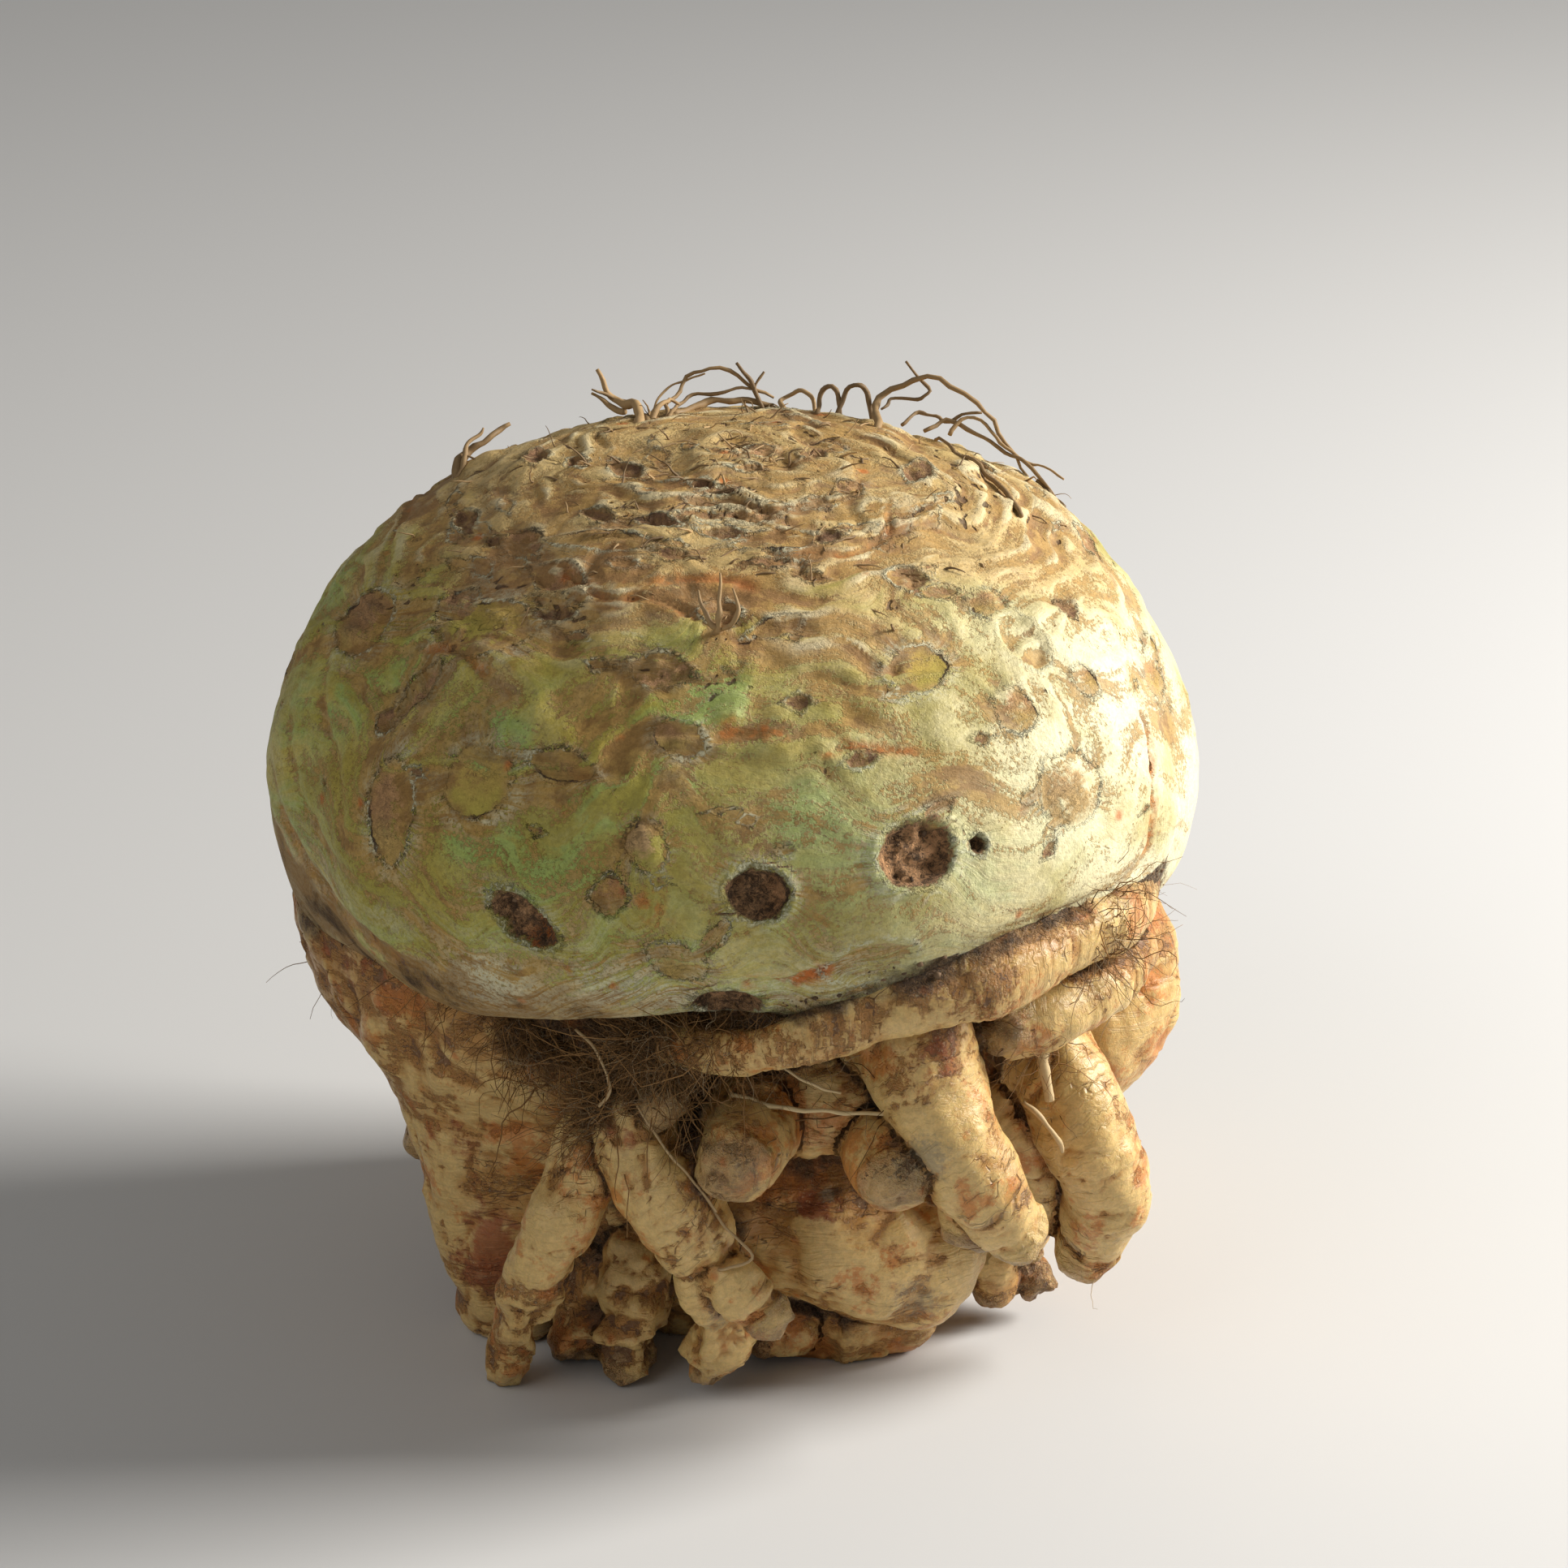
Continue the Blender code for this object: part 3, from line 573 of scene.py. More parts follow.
def calm(values, pairs, rounds):
    """Every round, a point's value becomes half itself and half the mean of its neighbours."""
    first, second = pairs
    count = np.bincount(first, minlength=len(values)) + np.bincount(second, minlength=len(values))
    columns = values.reshape(len(values), -1).T.copy()
    for _ in range(rounds):
        for column in columns:
            total = np.bincount(first, column[second], len(column))
            total += np.bincount(second, column[first], len(column))
            column[:] = 0.5 * column + 0.5 * total / np.maximum(count, 1)
    return columns.T.reshape(values.shape)


def hollow_depth(points, out, pairs, rounds):
    """How far the calmed surface lies above each point, along its own outward direction."""
    return np.sum((calm(points, pairs, rounds) - points) * out, axis=1)


print("the knot has", joined_pairs(knot.data).shape[1], "edges to calm along")

# %% [markdown]
# ## Where bulb and roots meet
#
# The bulb and the knot are two pieces, because the bulb's even grid can show finer scars than a remeshed
# skin. They meet under the lip. On a grown thing the two skins flow together there, so each is lifted a
# little where the other one is near, by the formula of a smooth union. On the side where the lip overhangs,
# the lift is small and a dark crease stays.

# %% Measure how near bulb and knot are
KNOT_MIDDLE = np.array([0, 2, 34]) * MM
SOFT_SIDE_AZIMUTH, SOFT_SIDE_HALF_WIDTH = -150, 50
SOFT_BLEND, SHARP_BLEND = 11 * MM, 2.2 * MM


def signed_distance(points, target, middle):
    """The distance to the target's surface, below zero where the point lies on the middle's side of it."""
    found = nearest_places(points, target)
    away = points - found
    return np.linalg.norm(away, axis=1) * np.sign(np.sum(away * (found - middle), axis=1))


def azimuth_of(points):
    """The compass angle round the axis in degrees, 0 along +X and -90 on the front."""
    return np.degrees(np.arctan2(points[:, 1], points[:, 0]))


def smooth_union_lift(distance, blend):
    """A smooth union's rise above a surface with another one at the distance: blend/4 (1 - d/blend)^2."""
    return blend / 4 * np.clip(1 - np.abs(distance) / blend, 0, 1) ** 2


def lip_blend(points):
    """The blend's width: soft on the side where the bulb runs down into the neck, sharp on the others."""
    soft = bump_of(turned(azimuth_of(points) - SOFT_SIDE_AZIMUTH) / SOFT_SIDE_HALF_WIDTH)
    return SHARP_BLEND + (SOFT_BLEND - SHARP_BLEND) * soft


bulb_to_knot = signed_distance(bulb_points, knot, KNOT_MIDDLE)
knot_to_bulb = signed_distance(knot_points, bulb, BULB_MIDDLE)
print("bulb's points within 3 mm of the knot:", int(np.sum(np.abs(bulb_to_knot) < 3 * MM)))

# %% [markdown]
# ## Leaf scars and root pits
#
# Each leaf and each side root that grew from the bulb left a scar. They differ in kind: deep fibrous
# sockets of broken roots, large shallow leaf scars with a crack along one side, raised buttons with a
# groove round them, almond-shaped eyes, and near the crown many small slits. One relief formula makes them
# all, and a kind is a row of numbers for it. The scars that can be told apart from in front are listed one
# by one, and a seeded draw strews the small ones.
#
# The skin's fine lines part and run round each scar, as grain does round a knot in wood. So every scar also
# bends the height value that those lines are drawn with.

# %% Kinds of scars and their places
# depth, dome, rim and rough are heights in millimetres; crack, cover, fuzz, halo and chalk are shares;
# pointed says how far the outline narrows to its ends; floor is a colour.
SCAR_FIELDS = ("depth", "dome", "rim", "rough", "crack", "cover", "fuzz", "halo", "chalk", "pointed", "floor")
SCAR_ROWS = {
    "socket": (1.6, 0.0, 0.45, 0.7, 0.3, 1.3, 1.0, 0.3, 0.6, 0.0, (0.33, 0.185, 0.090)),
    "oval": (0.4, 0.7, 0.16, 0.1, 1.0, 0.88, 0.25, 0.6, 0.4, 0.0, (0.40, 0.225, 0.10)),
    "window": (0.35, 0.6, 0.16, 0.05, 1.0, 0.88, 0.1, 0.7, 0.5, 0.0, (0.42, 0.29, 0.075)),
    "button": (-0.1, 0.8, 0.15, 0.15, 1.0, 0.85, 0.3, 0.3, 0.5, 0.0, (0.48, 0.31, 0.14)),
    "eye": (0.35, 0.35, 0.18, 0.15, 0.9, 0.66, 0.3, 0.7, 0.4, 0.7, (0.36, 0.215, 0.075)),
    "slit": (0.7, 0.0, 0.35, 0.3, 0.5, 0.62, 0.6, 0.7, 0.2, 0.6, (0.22, 0.12, 0.062)),
    "bark": (0.45, 0.15, 0.22, 0.4, 0.6, 0.52, 0.6, 0.8, 0.2, 0.6, (0.33, 0.185, 0.095)),
    "dent": (0.8, 0.0, 0.0, 0.0, 0.0, 0.0, 0.0, 0.1, 0.1, 0.0, (0.42, 0.32, 0.14)),
}
SCAR_KINDS = {kind: dict(zip(SCAR_FIELDS, row)) for kind, row in SCAR_ROWS.items()}
# (kind, azimuth, elevation, half width, half height, tilt, crack's angle, crack's reach), degrees and
# millimetres.
SCARS = [
    ("socket", -66, 8, 5.3, 4.3, 12, 40, 60), ("socket", -86, 5, 4.1, 3.4, -5, 60, 70),
    ("socket", -114, 0, 5.0, 2.6, -38, 0, 60), ("button", -100, 10, 2.3, 3.1, 20, 120, 80),
    ("bark", -104, 4, 2.2, 2.6, 0, 90, 60), ("socket", -58, 8, 1.3, 1.2, 0, 90, 90),
    ("button", -42, 11, 5.4, 4.5, 10, 222, 38), ("oval", -136, 9, 3.9, 6.6, 24, 200, 62),
    ("window", -124, 15, 4.7, 4.6, 0, -60, 64), ("eye", -113, 19, 4.6, 2.1, -8, -90, 100),
    ("oval", -97, 24, 3.2, 2.3, -15, 200, 110), ("bark", -102, 34, 4.1, 2.8, -8, -30, 60),
    ("slit", -78, 29, 1.7, 1.1, 0, 90, 90), ("window", -57, 31, 4.3, 3.3, 15, -20, 80),
    ("oval", -45, 22, 2.7, 3.0, 0, 0, 50), ("bark", -91, 45, 2.6, 2.4, 0, -90, 90),
    ("eye", -79, 42, 3.5, 1.4, 20, 90, 80), ("bark", -134, 47, 4.6, 2.6, -8, 0, 90),
    ("slit", -128, 41, 2.7, 1.4, 10, 0, 90), ("slit", -107, 58, 2.3, 1.3, 0, 90, 90),
    ("bark", -45, 46, 3.0, 2.3, -30, 0, 90), ("oval", -35, 37, 2.8, 2.0, -5, 180, 60),
    ("slit", 8, 57, 3.6, 2.0, 0, 90, 90), ("bark", -19, 67, 2.0, 1.8, 0, 90, 90),
    ("bark", 60, 80, 2.6, 2.6, 0, 90, 90), ("eye", -21, 54, 3.0, 1.7, 10, 90, 90),
    ("slit", -178, 45, 3.0, 1.7, 0, 90, 90), ("oval", -166, 26, 5.6, 5.0, 0, 160, 60),
    ("bark", -142, 23, 2.2, 4.2, -15, 0, 90), ("slit", -144, 18, 1.6, 1.6, 0, 90, 90),
    ("oval", -4, 17, 2.6, 1.8, 0, 0, 60), ("oval", -10, 15, 3.4, 2.6, 0, 0, 60),
    ("eye", -92, -1, 3.2, 1.1, 48, 90, 80), ("socket", -90, -12, 4.8, 3.4, 0, 90, 90),
    ("window", -139, 35, 6.6, 4.8, 10, 120, 30), ("eye", -71, 62, 5.6, 2.4, 0, -90, 70),
    ("eye", -133, 57, 7.0, 2.0, 14, 90, 90), ("slit", 171, 71, 4.0, 1.8, 0, 90, 90),
    ("slit", 29, 73, 3.2, 1.6, 0, 90, 90), ("dent", -35, 30, 3.4, 4.6, 0, 0, 90),
    ("slit", -71, 20, 2.1, 1.1, 10, 90, 90), ("bark", -63, 12, 3.0, 1.4, 35, 90, 90),
    ("oval", -96, -4, 3.6, 2.6, -30, -90, 50), ("dent", -72, -5, 6.0, 3.2, 12, 0, 90),
    ("slit", -54, 60, 2.0, 1.2, 0, 90, 90), ("slit", -92, 66, 2.4, 1.2, 0, 90, 90),
    ("bark", -76, 71, 3.4, 2.0, 0, 90, 90), ("slit", -122, 66, 2.8, 1.4, 0, 90, 90),
    ("slit", -146, 62, 2.6, 1.4, 0, 90, 90), ("bark", -154, 50, 3.6, 2.4, 0, 90, 90),
    ("bark", -150, 36, 3.2, 3.4, 0, 90, 90), ("slit", -48, 5, 1.2, 0.9, 30, 90, 90),
    ("oval", -30, 22, 1.8, 2.2, 0, 0, 60), ("slit", -20, 30, 1.8, 1.4, 0, 0, 90),
    ("socket", 12, 2, 5.2, 4.4, 10, 90, 60), ("oval", 36, 14, 4.4, 4.6, 0, -60, 70),
    ("socket", 62, 0, 5.0, 4.0, -12, 90, 60), ("button", 84, 18, 4.6, 4.0, 0, 200, 50),
    ("socket", 104, 4, 4.8, 4.0, 8, 90, 60), ("oval", 128, 16, 4.4, 5.4, 20, 200, 60),
    ("socket", 152, 2, 4.5, 3.8, -10, 90, 60), ("eye", 174, 12, 4.6, 2.6, 0, -90, 80),
    ("oval", 50, 34, 4.2, 2.8, 0, -90, 70), ("eye", 96, 36, 4.2, 2.2, 0, 90, 80),
    ("bark", 140, 34, 3.8, 2.6, 0, 0, 90), ("bark", 8, 30, 3.8, 2.8, 0, 0, 90),
    ("eye", 70, 26, 3.6, 1.8, 15, 90, 80), ("oval", 112, 24, 3.4, 3.0, 0, 0, 70),
    ("slit", 24, 44, 3.0, 1.6, 0, 90, 90), ("slit", 80, 50, 3.2, 1.6, 0, 90, 90),
    ("bark", 118, 52, 3.6, 2.0, 0, 90, 90), ("slit", 156, 54, 3.0, 1.6, 0, 90, 90),
]
SMALL_SCARS = 120  # more slits and specks of the same kinds, strewn over the crown and thinly over the rest
SMALL_SCAR_SEED = 11
SCAR_REACH = 3.4  # how far a scar's formula reaches, in its own half widths
EDGE_WOBBLE = 0.07
FLOW_BEND = 1.5
SCAR_RUST = {2: 1.0, 4: 0.6, 0: 0.15, 1: 0.2, 9: 0.3}  # rows of SCARS with rust on their right, and how much
SCAR_TONE_SEED = 17


def strewn_scars():
    """Small slits, spots and dents, most of them near the crown: elevation = 88 - 84 share^0.75 degrees."""
    rng = np.random.default_rng(SMALL_SCAR_SEED)
    rows = []
    for _ in range(SMALL_SCARS):
        elevation = 88 - 84 * rng.random() ** 0.75
        crowned = elevation > 40
        kind = rng.choice(["slit", "bark", "eye"] if crowned else ["slit", "dent", "eye"])
        half_width = rng.uniform(0.9, 2.6) if crowned else rng.uniform(0.5, 1.3)
        rows.append((
            kind, rng.uniform(-180, 180), elevation, half_width, half_width * rng.uniform(0.35, 0.7),
            rng.uniform(-14, 14), 90, 90,
        ))
    return rows


def directions_from_middle(points):
    """The unit vector from the bulb's middle to each point."""
    return (points - BULB_MIDDLE) / length_of(points - BULB_MIDDLE)


def direction_at(azimuth, elevation):
    """The unit vector at an azimuth and an elevation, in degrees."""
    a, e = radians(azimuth), radians(elevation)
    return np.array([np.cos(e) * np.cos(a), np.cos(e) * np.sin(a), np.sin(e)])


all_scars = SCARS + strewn_scars()
print(len(SCARS), "scars placed by hand and", SMALL_SCARS, "strewn")

# %% [markdown]
# Every scar is worked out on the points near it only, in its own plane. The masks that go with its relief
# tell the material where powder gathers round it, where a chalky rim lies and which points are nearest to
# it.


# %% Work out every scar's relief
def shape_scars(points, out, scars):
    """Relief in metres, the push on the skin's lines, soft masks, and each point's place in its nearest scar.

    In a scar's own plane a point is u half widths across and v half heights up, v is stretched by
    1 + pointed u^2, and e = sqrt(u^2 + v^2) is 1 on its edge. The relief is -depth inside, + dome (1 - e^2),
    + rim exp(-((e - 1.17) / 0.17)^2). The lines are pushed up above the scar and down below it by
    FLOW_BEND * half height * tanh(v).

    The point also keeps u and v of the scar whose edge is nearest. The material works e out from them
    again, so that it can draw edges and cracks much finer than the mesh.
    """
    unit = directions_from_middle(points)
    relief, push = np.zeros(len(points)), np.zeros(len(points))
    masks = {name: np.zeros(len(points)) for name in ("halo", "chalk", "crumb")}
    place = {name: np.zeros(len(points)) for name in ("u", "v", "cover", "fuzz", "crack", "rust")}
    place["u"] += 9
    place["size"] = np.ones(len(points))
    floors = np.full((len(points), 3), 0.3)
    closest, runner_up = np.full(len(points), 99.0), np.full(len(points), 99.0)
    dice = np.random.default_rng(SCAR_TONE_SEED)
    tones = dice.uniform(0.78, 1.18, len(scars))
    strengths = np.where(np.arange(len(scars)) < len(SCARS), 1.0, dice.uniform(0.3, 1.0, len(scars)))
    for number, scar in enumerate(scars):
        kind, azimuth, elevation, half_width, half_height, tilt, crack_at, crack_reach = scar
        form = SCAR_KINDS[kind]
        centre = np.argmax(unit @ direction_at(azimuth, elevation))
        sideways = np.cross([0, 0, 1], out[centre])
        sideways /= np.linalg.norm(sideways)
        upwards = np.cross(out[centre], sideways)
        reach = (SCAR_REACH * max(half_width, half_height) + 1.5) * MM
        near = np.nonzero(np.linalg.norm(points - points[centre], axis=1) < reach)[0]
        offset = (points[near] - points[centre]) / MM
        lean = radians(tilt)
        u = offset @ (np.cos(lean) * sideways + np.sin(lean) * upwards) / half_width
        v = offset @ (np.cos(lean) * upwards - np.sin(lean) * sideways) / half_height
        wobble = layered_noise(points[near] / MM, 2.6, 2, 40 + number)
        v = v * (1 + form["pointed"] * np.minimum(u * u, 4))
        u, v = u * (1 + EDGE_WOBBLE * wobble), v * (1 + EDGE_WOBBLE * wobble)
        edge = np.sqrt(u**2 + v**2)
        inside = 1 - step_between(0.74, 1.04, edge)
        fibrous = layered_noise(points[near] / MM, 1.3, 2, 90 + number)
        scale = min(1, 0.35 + half_height / 4) * strengths[number]
        relief[near] += scale * MM * (
            -form["depth"] * inside
            + form["dome"] * np.clip(1 - edge**2, 0, 1)
            + form["rim"] * bump_of((edge - 1.17) / 0.17) * (0.7 + 0.5 * wobble)
            + form["rough"] * fibrous * inside
        )
        beside = bump_of(u / 1.5) * bump_of(v / 2.6)
        push[near] += FLOW_BEND * half_height * np.tanh(v) * beside
        haloed = form["halo"] * bump_of(np.clip(np.hypot(u / 1.7, v) - 0.8, 0, 9) / 0.55)
        chalked = form["chalk"] * bump_of((edge - 1.34) / 0.26) * (0.6 + 0.6 * wobble)
        for name, share in (("halo", haloed), ("chalk", chalked), ("crumb", inside * (kind == "socket"))):
            masks[name][near] = np.maximum(masks[name][near], share)
        gap = (edge - 1) * min(half_width, half_height)
        better = gap < closest[near]
        runner_up[near] = np.where(better, closest[near], np.minimum(runner_up[near], gap))
        mine = near[better]
        closest[mine] = gap[better]
        angle = np.degrees(np.arctan2(v, u))[better]
        place["u"][mine], place["v"][mine] = u[better], v[better]
        place["size"][mine] = min(half_width, half_height)
        far_turn = -np.cos(np.radians(angle - crack_at))
        far_side = np.clip(edge[better], 0, 1) * step_between(-0.3, 0.8, far_turn)
        fading = 1 - 0.85 * far_side * (kind in ("oval", "window", "eye", "button", "bark"))
        place["cover"][mine] = form["cover"] * (0.4 + 0.6 * strengths[number]) * fading
        place["fuzz"][mine] = form["fuzz"]
        crack_share = bump_of(turned(angle - crack_at) / (0.6 * crack_reach))
        place["crack"][mine] = strengths[number] * form["crack"] * min(1, half_height / 1.6) * crack_share
        place["rust"][mine] = SCAR_RUST.get(number, 0) * step_between(-0.1, 0.7, u[better])
        floors[mine] = np.array(form["floor"]) * tones[number]
    place["near"] = step_between(2.2, 1.2, closest) * step_between(0.0, 0.35, runner_up - closest)
    return relief, push, masks, place, floors


scar_relief, line_push, scar_masks, scar_place, scar_floors = shape_scars(bulb_points, bulb_out, all_scars)
print("the deepest scar goes down to", round(scar_relief.min() / MM, 2), "mm")

# %% [markdown]
# ## Folds, ledges and patches of colour
#
# Towards the crown the skin lies in ledges, the worn bases of leaves that once grew in rings. A saw-tooth
# of the distance down the side gives such ledges: it rises slowly and drops at once. Lower down there are a
# few long folds and cracks, each a line over the bulb with a groove along it.
#
# Green skin is where light reached the bulb, ochre where it is bruised or old, and brown where powder and
# dirt lie thickest. Each patch is a soft oval on the sphere of directions, its edge broken up by noise.

# %% Places of ledges, folds and patches
LEDGE_STEP_MM = 5.2
LEDGE_RISE = 0.55 * MM
LEDGE_FROM_Z, LEDGE_FULL_Z = 92 * MM, 112 * MM
# (azimuth, elevation) points of each fold, its half width and depth in millimetres, and its share of rust
# colour.
FOLDS = [
    ([(-169, 20), (-159, 14), (-148, 9), (-143, 2)], 0.9, 0.45, 0.0),
    ([(-170, 12), (-163, 6), (-154, 1), (-140, -2), (-129, -4), (-118, -7)], 1.0, 0.4, 0.0),
    ([(-172, 4), (-160, -4), (-146, -8), (-132, -11)], 1.3, 0.55, 0.2),
    ([(-21, 15), (-24, 11), (-27, 6), (-29, -2)], 0.6, 0.9, 0.9),
    ([(-77, 21), (-71, 22), (-62, 20)], 0.5, 0.45, 0.8),
    ([(-88, -7), (-82, -7), (-76, -5)], 0.7, 0.4, 1.0),
    ([(-92, 25), (-86, 25.5), (-80, 25)], 0.9, 0.2, 0.7),
    ([(-138, 50), (-120, 46), (-106, 47), (-94, 43), (-84, 44)], 0.5, 0.5, 0.4),
    ([(-84, 60), (-66, 57), (-52, 54), (-36, 56), (-20, 60)], 0.5, 0.5, 0.4),
    ([(-112, 50), (-96, 53), (-80, 50)], 0.6, 0.35, 0.5),
    ([(-148, 28), (-140, 30), (-130, 28)], 0.5, 0.5, 0.5),
    ([(20, 8), (30, 3), (40, 4)], 0.7, 0.35, 0.2), ([(96, 16), (112, 12), (130, 8)], 0.7, 0.6, 0.4),
    ([(60, 40), (84, 42), (108, 40), (130, 44)], 0.5, 0.5, 0.4),
    ([(150, 30), (166, 34), (182, 32)], 0.6, 0.5, 0.4),
]
# (azimuth, elevation, half width, half height, strength) of patches, in degrees.
GREEN_PATCHES = [
    (-116, 8, 11, 6, 1.0), (-124, 20, 9, 6, 0.8), (-103, 15, 13, 7, 0.75), (-97, 30, 20, 8, 1.0),
    (-117, 42, 14, 5, 0.8), (-74, 37, 12, 6, 0.75), (-48, 50, 13, 4, 0.6), (-78, 14, 6, 5, 0.9),
    (-155, 18, 8, 8, 0.7), (-100, -3, 16, 4, 0.55), (-76, 2, 12, 4, 0.55), (-51, 4, 14, 5, 0.5),
    (-146, 26, 10, 5, 0.6), (-30, 44, 14, 5, 0.5), (-96, 57, 12, 4, 0.5), (-40, -4, 14, 4, 0.35),
    (20, 20, 16, 9, 0.7), (70, 14, 18, 8, 0.8), (120, 6, 16, 7, 0.7), (150, 24, 14, 8, 0.8),
    (95, 30, 18, 6, 0.7),
    (40, 46, 18, 5, 0.5), (140, 44, 16, 5, 0.6), (178, 20, 12, 8, 0.6),
]
OCHRE_PATCHES = [
    (-71, 62, 9, 3, 0.8), (-133, 57, 12, 3, 0.9), (-144, 38, 10, 6, 0.7), (-87, 38, 7, 3, 0.7),
    (-73, 43, 8, 3, 0.6), (-86, 25, 6, 1.6, 0.9), (-126, 30, 7, 3, 0.5), (-160, 30, 10, 6, 0.6),
    (-86, -2, 8, 3, 0.35), (-70, -9, 14, 3, 0.4), (-150, 46, 10, 4, 0.6), (30, 30, 14, 5, 0.6),
    (100, 48, 16, 4, 0.7),
    (130, 24, 10, 5, 0.6), (60, 26, 10, 4, 0.5), (170, 44, 14, 5, 0.7),
]
BROWN_PATCHES = [
    (-95, 48, 20, 6, 1.0), (-80, 25, 16, 3, 0.7), (-66, 56, 18, 3.5, 0.7), (-118, 52, 14, 4, 0.8),
    (-98, 22, 9, 4, 0.6),
    (-142, 22, 8, 10, 0.7), (-128, 12, 12, 4, 0.4), (-106, 34, 12, 3, 0.5), (-60, 16, 14, 4, 0.5),
    (-86, 12, 9, 5, 0.5),
    (-150, 44, 14, 6, 0.7), (40, 26, 16, 5, 0.6), (110, 40, 20, 5, 0.7), (160, 34, 14, 6, 0.6),
    (84, 8, 14, 5, 0.5),
]
# (x, y, z, reach in millimetres, strength) of small rust spots.
BULB_RUST_MM = [
    (-13.9, -58.4, 85.4, 1.3, 1.0), (-15.6, -57.9, 84.3, 1.1, 0.9), (-9.7, -60.4, 83.4, 2.0, 0.9),
    (-21.3, -54.0, 94.0, 0.8, 0.8), (-17.5, -56.5, 88.5, 0.7, 0.8), (30, 52, 84, 2.0, 0.8),
    (-30, 48, 86, 1.6, 0.8),
]
patch_counts = [len(patches) for patches in (GREEN_PATCHES, OCHRE_PATCHES, BROWN_PATCHES)]
print(len(FOLDS), "folds; green, ochre and brown patches:", patch_counts)

# %% [markdown]
# A fold's distance is measured to a smooth line through its points. Each mask is worked out once here for
# all the points, and the material only reads it.


# %% Work out ledges, folds and patches
def soft_spots(points, rows):
    """The sum of strength * exp(-(distance / reach)^2) over the rows."""
    total = np.zeros(len(points))
    for x, y, z, reach, strength in rows:
        total += strength * bump_of(np.linalg.norm(points / MM - [x, y, z], axis=1) / reach)
    return total


def patch_mask(points, patches, roughness, seed):
    """The strongest patch at each point.

    A patch is exp(-(angle / half width)^2 - (climb / half height)^2) plus noise, sharpened by a soft step and
    times its strength.
    """
    offset = points - BULB_MIDDLE
    azimuth = azimuth_of(points)
    elevation = np.degrees(np.arcsin(offset[:, 2] / np.linalg.norm(offset, axis=1)))
    shift = roughness * layered_noise(points / MM, 9, 4, seed)
    mask = np.zeros(len(points))
    for middle, level, half_width, half_height, strength in patches:
        near = bump_of(turned(azimuth - middle) / half_width) * bump_of((elevation - level) / half_height)
        mask = np.maximum(mask, strength * step_between(0.25, 0.85, near + shift))
    return mask


def shape_folds(points, folds):
    """Relief, rust and crease masks of the folds.

    The relief is -depth exp(-(d / half width)^2), with a low bank at two half widths on both sides. It fades
    towards both ends of the line.
    """
    unit = directions_from_middle(points)
    relief, rust, crease = (np.zeros(len(points)) for _ in range(3))
    for number, (route, half_width, depth, colour) in enumerate(folds):
        corners = np.array([points[np.argmax(unit @ direction_at(*place))] for place in route])
        knots = run_lengths(corners)
        line = smooth_line(corners, np.linspace(0, knots[-1], 40))
        low, high = line.min(axis=0) - 8 * MM, line.max(axis=0) + 8 * MM
        near = np.nonzero(np.all((points > low) & (points < high), axis=1))[0]
        gap = np.linalg.norm(points[near][:, None] - line[None], axis=-1)
        share = np.argmin(gap, axis=1) / (len(line) - 1)
        gap = gap.min(axis=1) / MM + 0.5 * noise(points[near] / MM, 2.5, 60 + number)
        fade = np.clip(4 * share * (1 - share) * 2.5, 0, 1)
        groove = bump_of(gap / half_width) * fade
        relief[near] -= MM * depth * (groove - 0.4 * bump_of((np.abs(gap) / half_width - 2.1) / 0.9) * fade)
        rust[near] = np.maximum(rust[near], colour * bump_of(gap / (1.8 * half_width)) * fade)
        crease[near] = np.maximum(crease[near], groove * min(1, depth))
    return relief, rust, crease


points_mm = bulb_points / MM
side_share = step_between(LEDGE_FROM_Z, LEDGE_FULL_Z, bulb_points[:, 2])
side_share = side_share * step_between(10 * MM, 26 * MM, down_the_side)
wander = points_mm * [1, 1, 0.3]
lines_mm = down_the_side / MM - line_push + 7 * layered_noise(wander, 26, 3, 5) + 2.2 * noise(wander, 9, 6)
phase = lines_mm / LEDGE_STEP_MM
saw = phase - np.floor(phase)
ledge = (saw * step_between(1.0, 0.86, saw)) * step_between(-0.25, 0.5, layered_noise(points_mm, 12, 2, 7))
fold_relief, rust, crease = shape_folds(bulb_points, FOLDS)
rust = np.maximum(rust, soft_spots(bulb_points, BULB_RUST_MM))
green = patch_mask(bulb_points, GREEN_PATCHES, 0.32, 21)
ochre = patch_mask(bulb_points, OCHRE_PATCHES, 0.3, 31)
dusk = patch_mask(bulb_points, BROWN_PATCHES, 0.3, 61)
crown = step_between(100 * MM, 121 * MM, bulb_points[:, 2] + 5 * MM * layered_noise(points_mm, 14, 3, 8))
green_percent = round(100 * float((green > 0.3).mean()))
print("ledges up to", round(LEDGE_RISE / MM, 2), "mm; green on", green_percent, "% of points")

# %% [markdown]
# All reliefs are added, and every point moves out along its normal by the sum. Wrinkles are noise read on
# the bent line value, so they too run round the scars. A fissure is where such a noise passes through zero.

# %% Raise the bulb's skin
LUMPS = [(24, 0.55, 12), (10, 0.28, 13), (4.5, 0.12, 14), (2.1, 0.05, 15)]  # size and height in mm, seed


def lumps(points, rows):
    """The sum of height * noise(point / size) over the rows."""
    return sum(height * MM * noise(points / MM, size, seed) for size, height, seed in rows)


near_knot = step_between(5.5 * MM, 0.5 * MM, bulb_to_knot) * (bulb_points[:, 2] < 74 * MM)
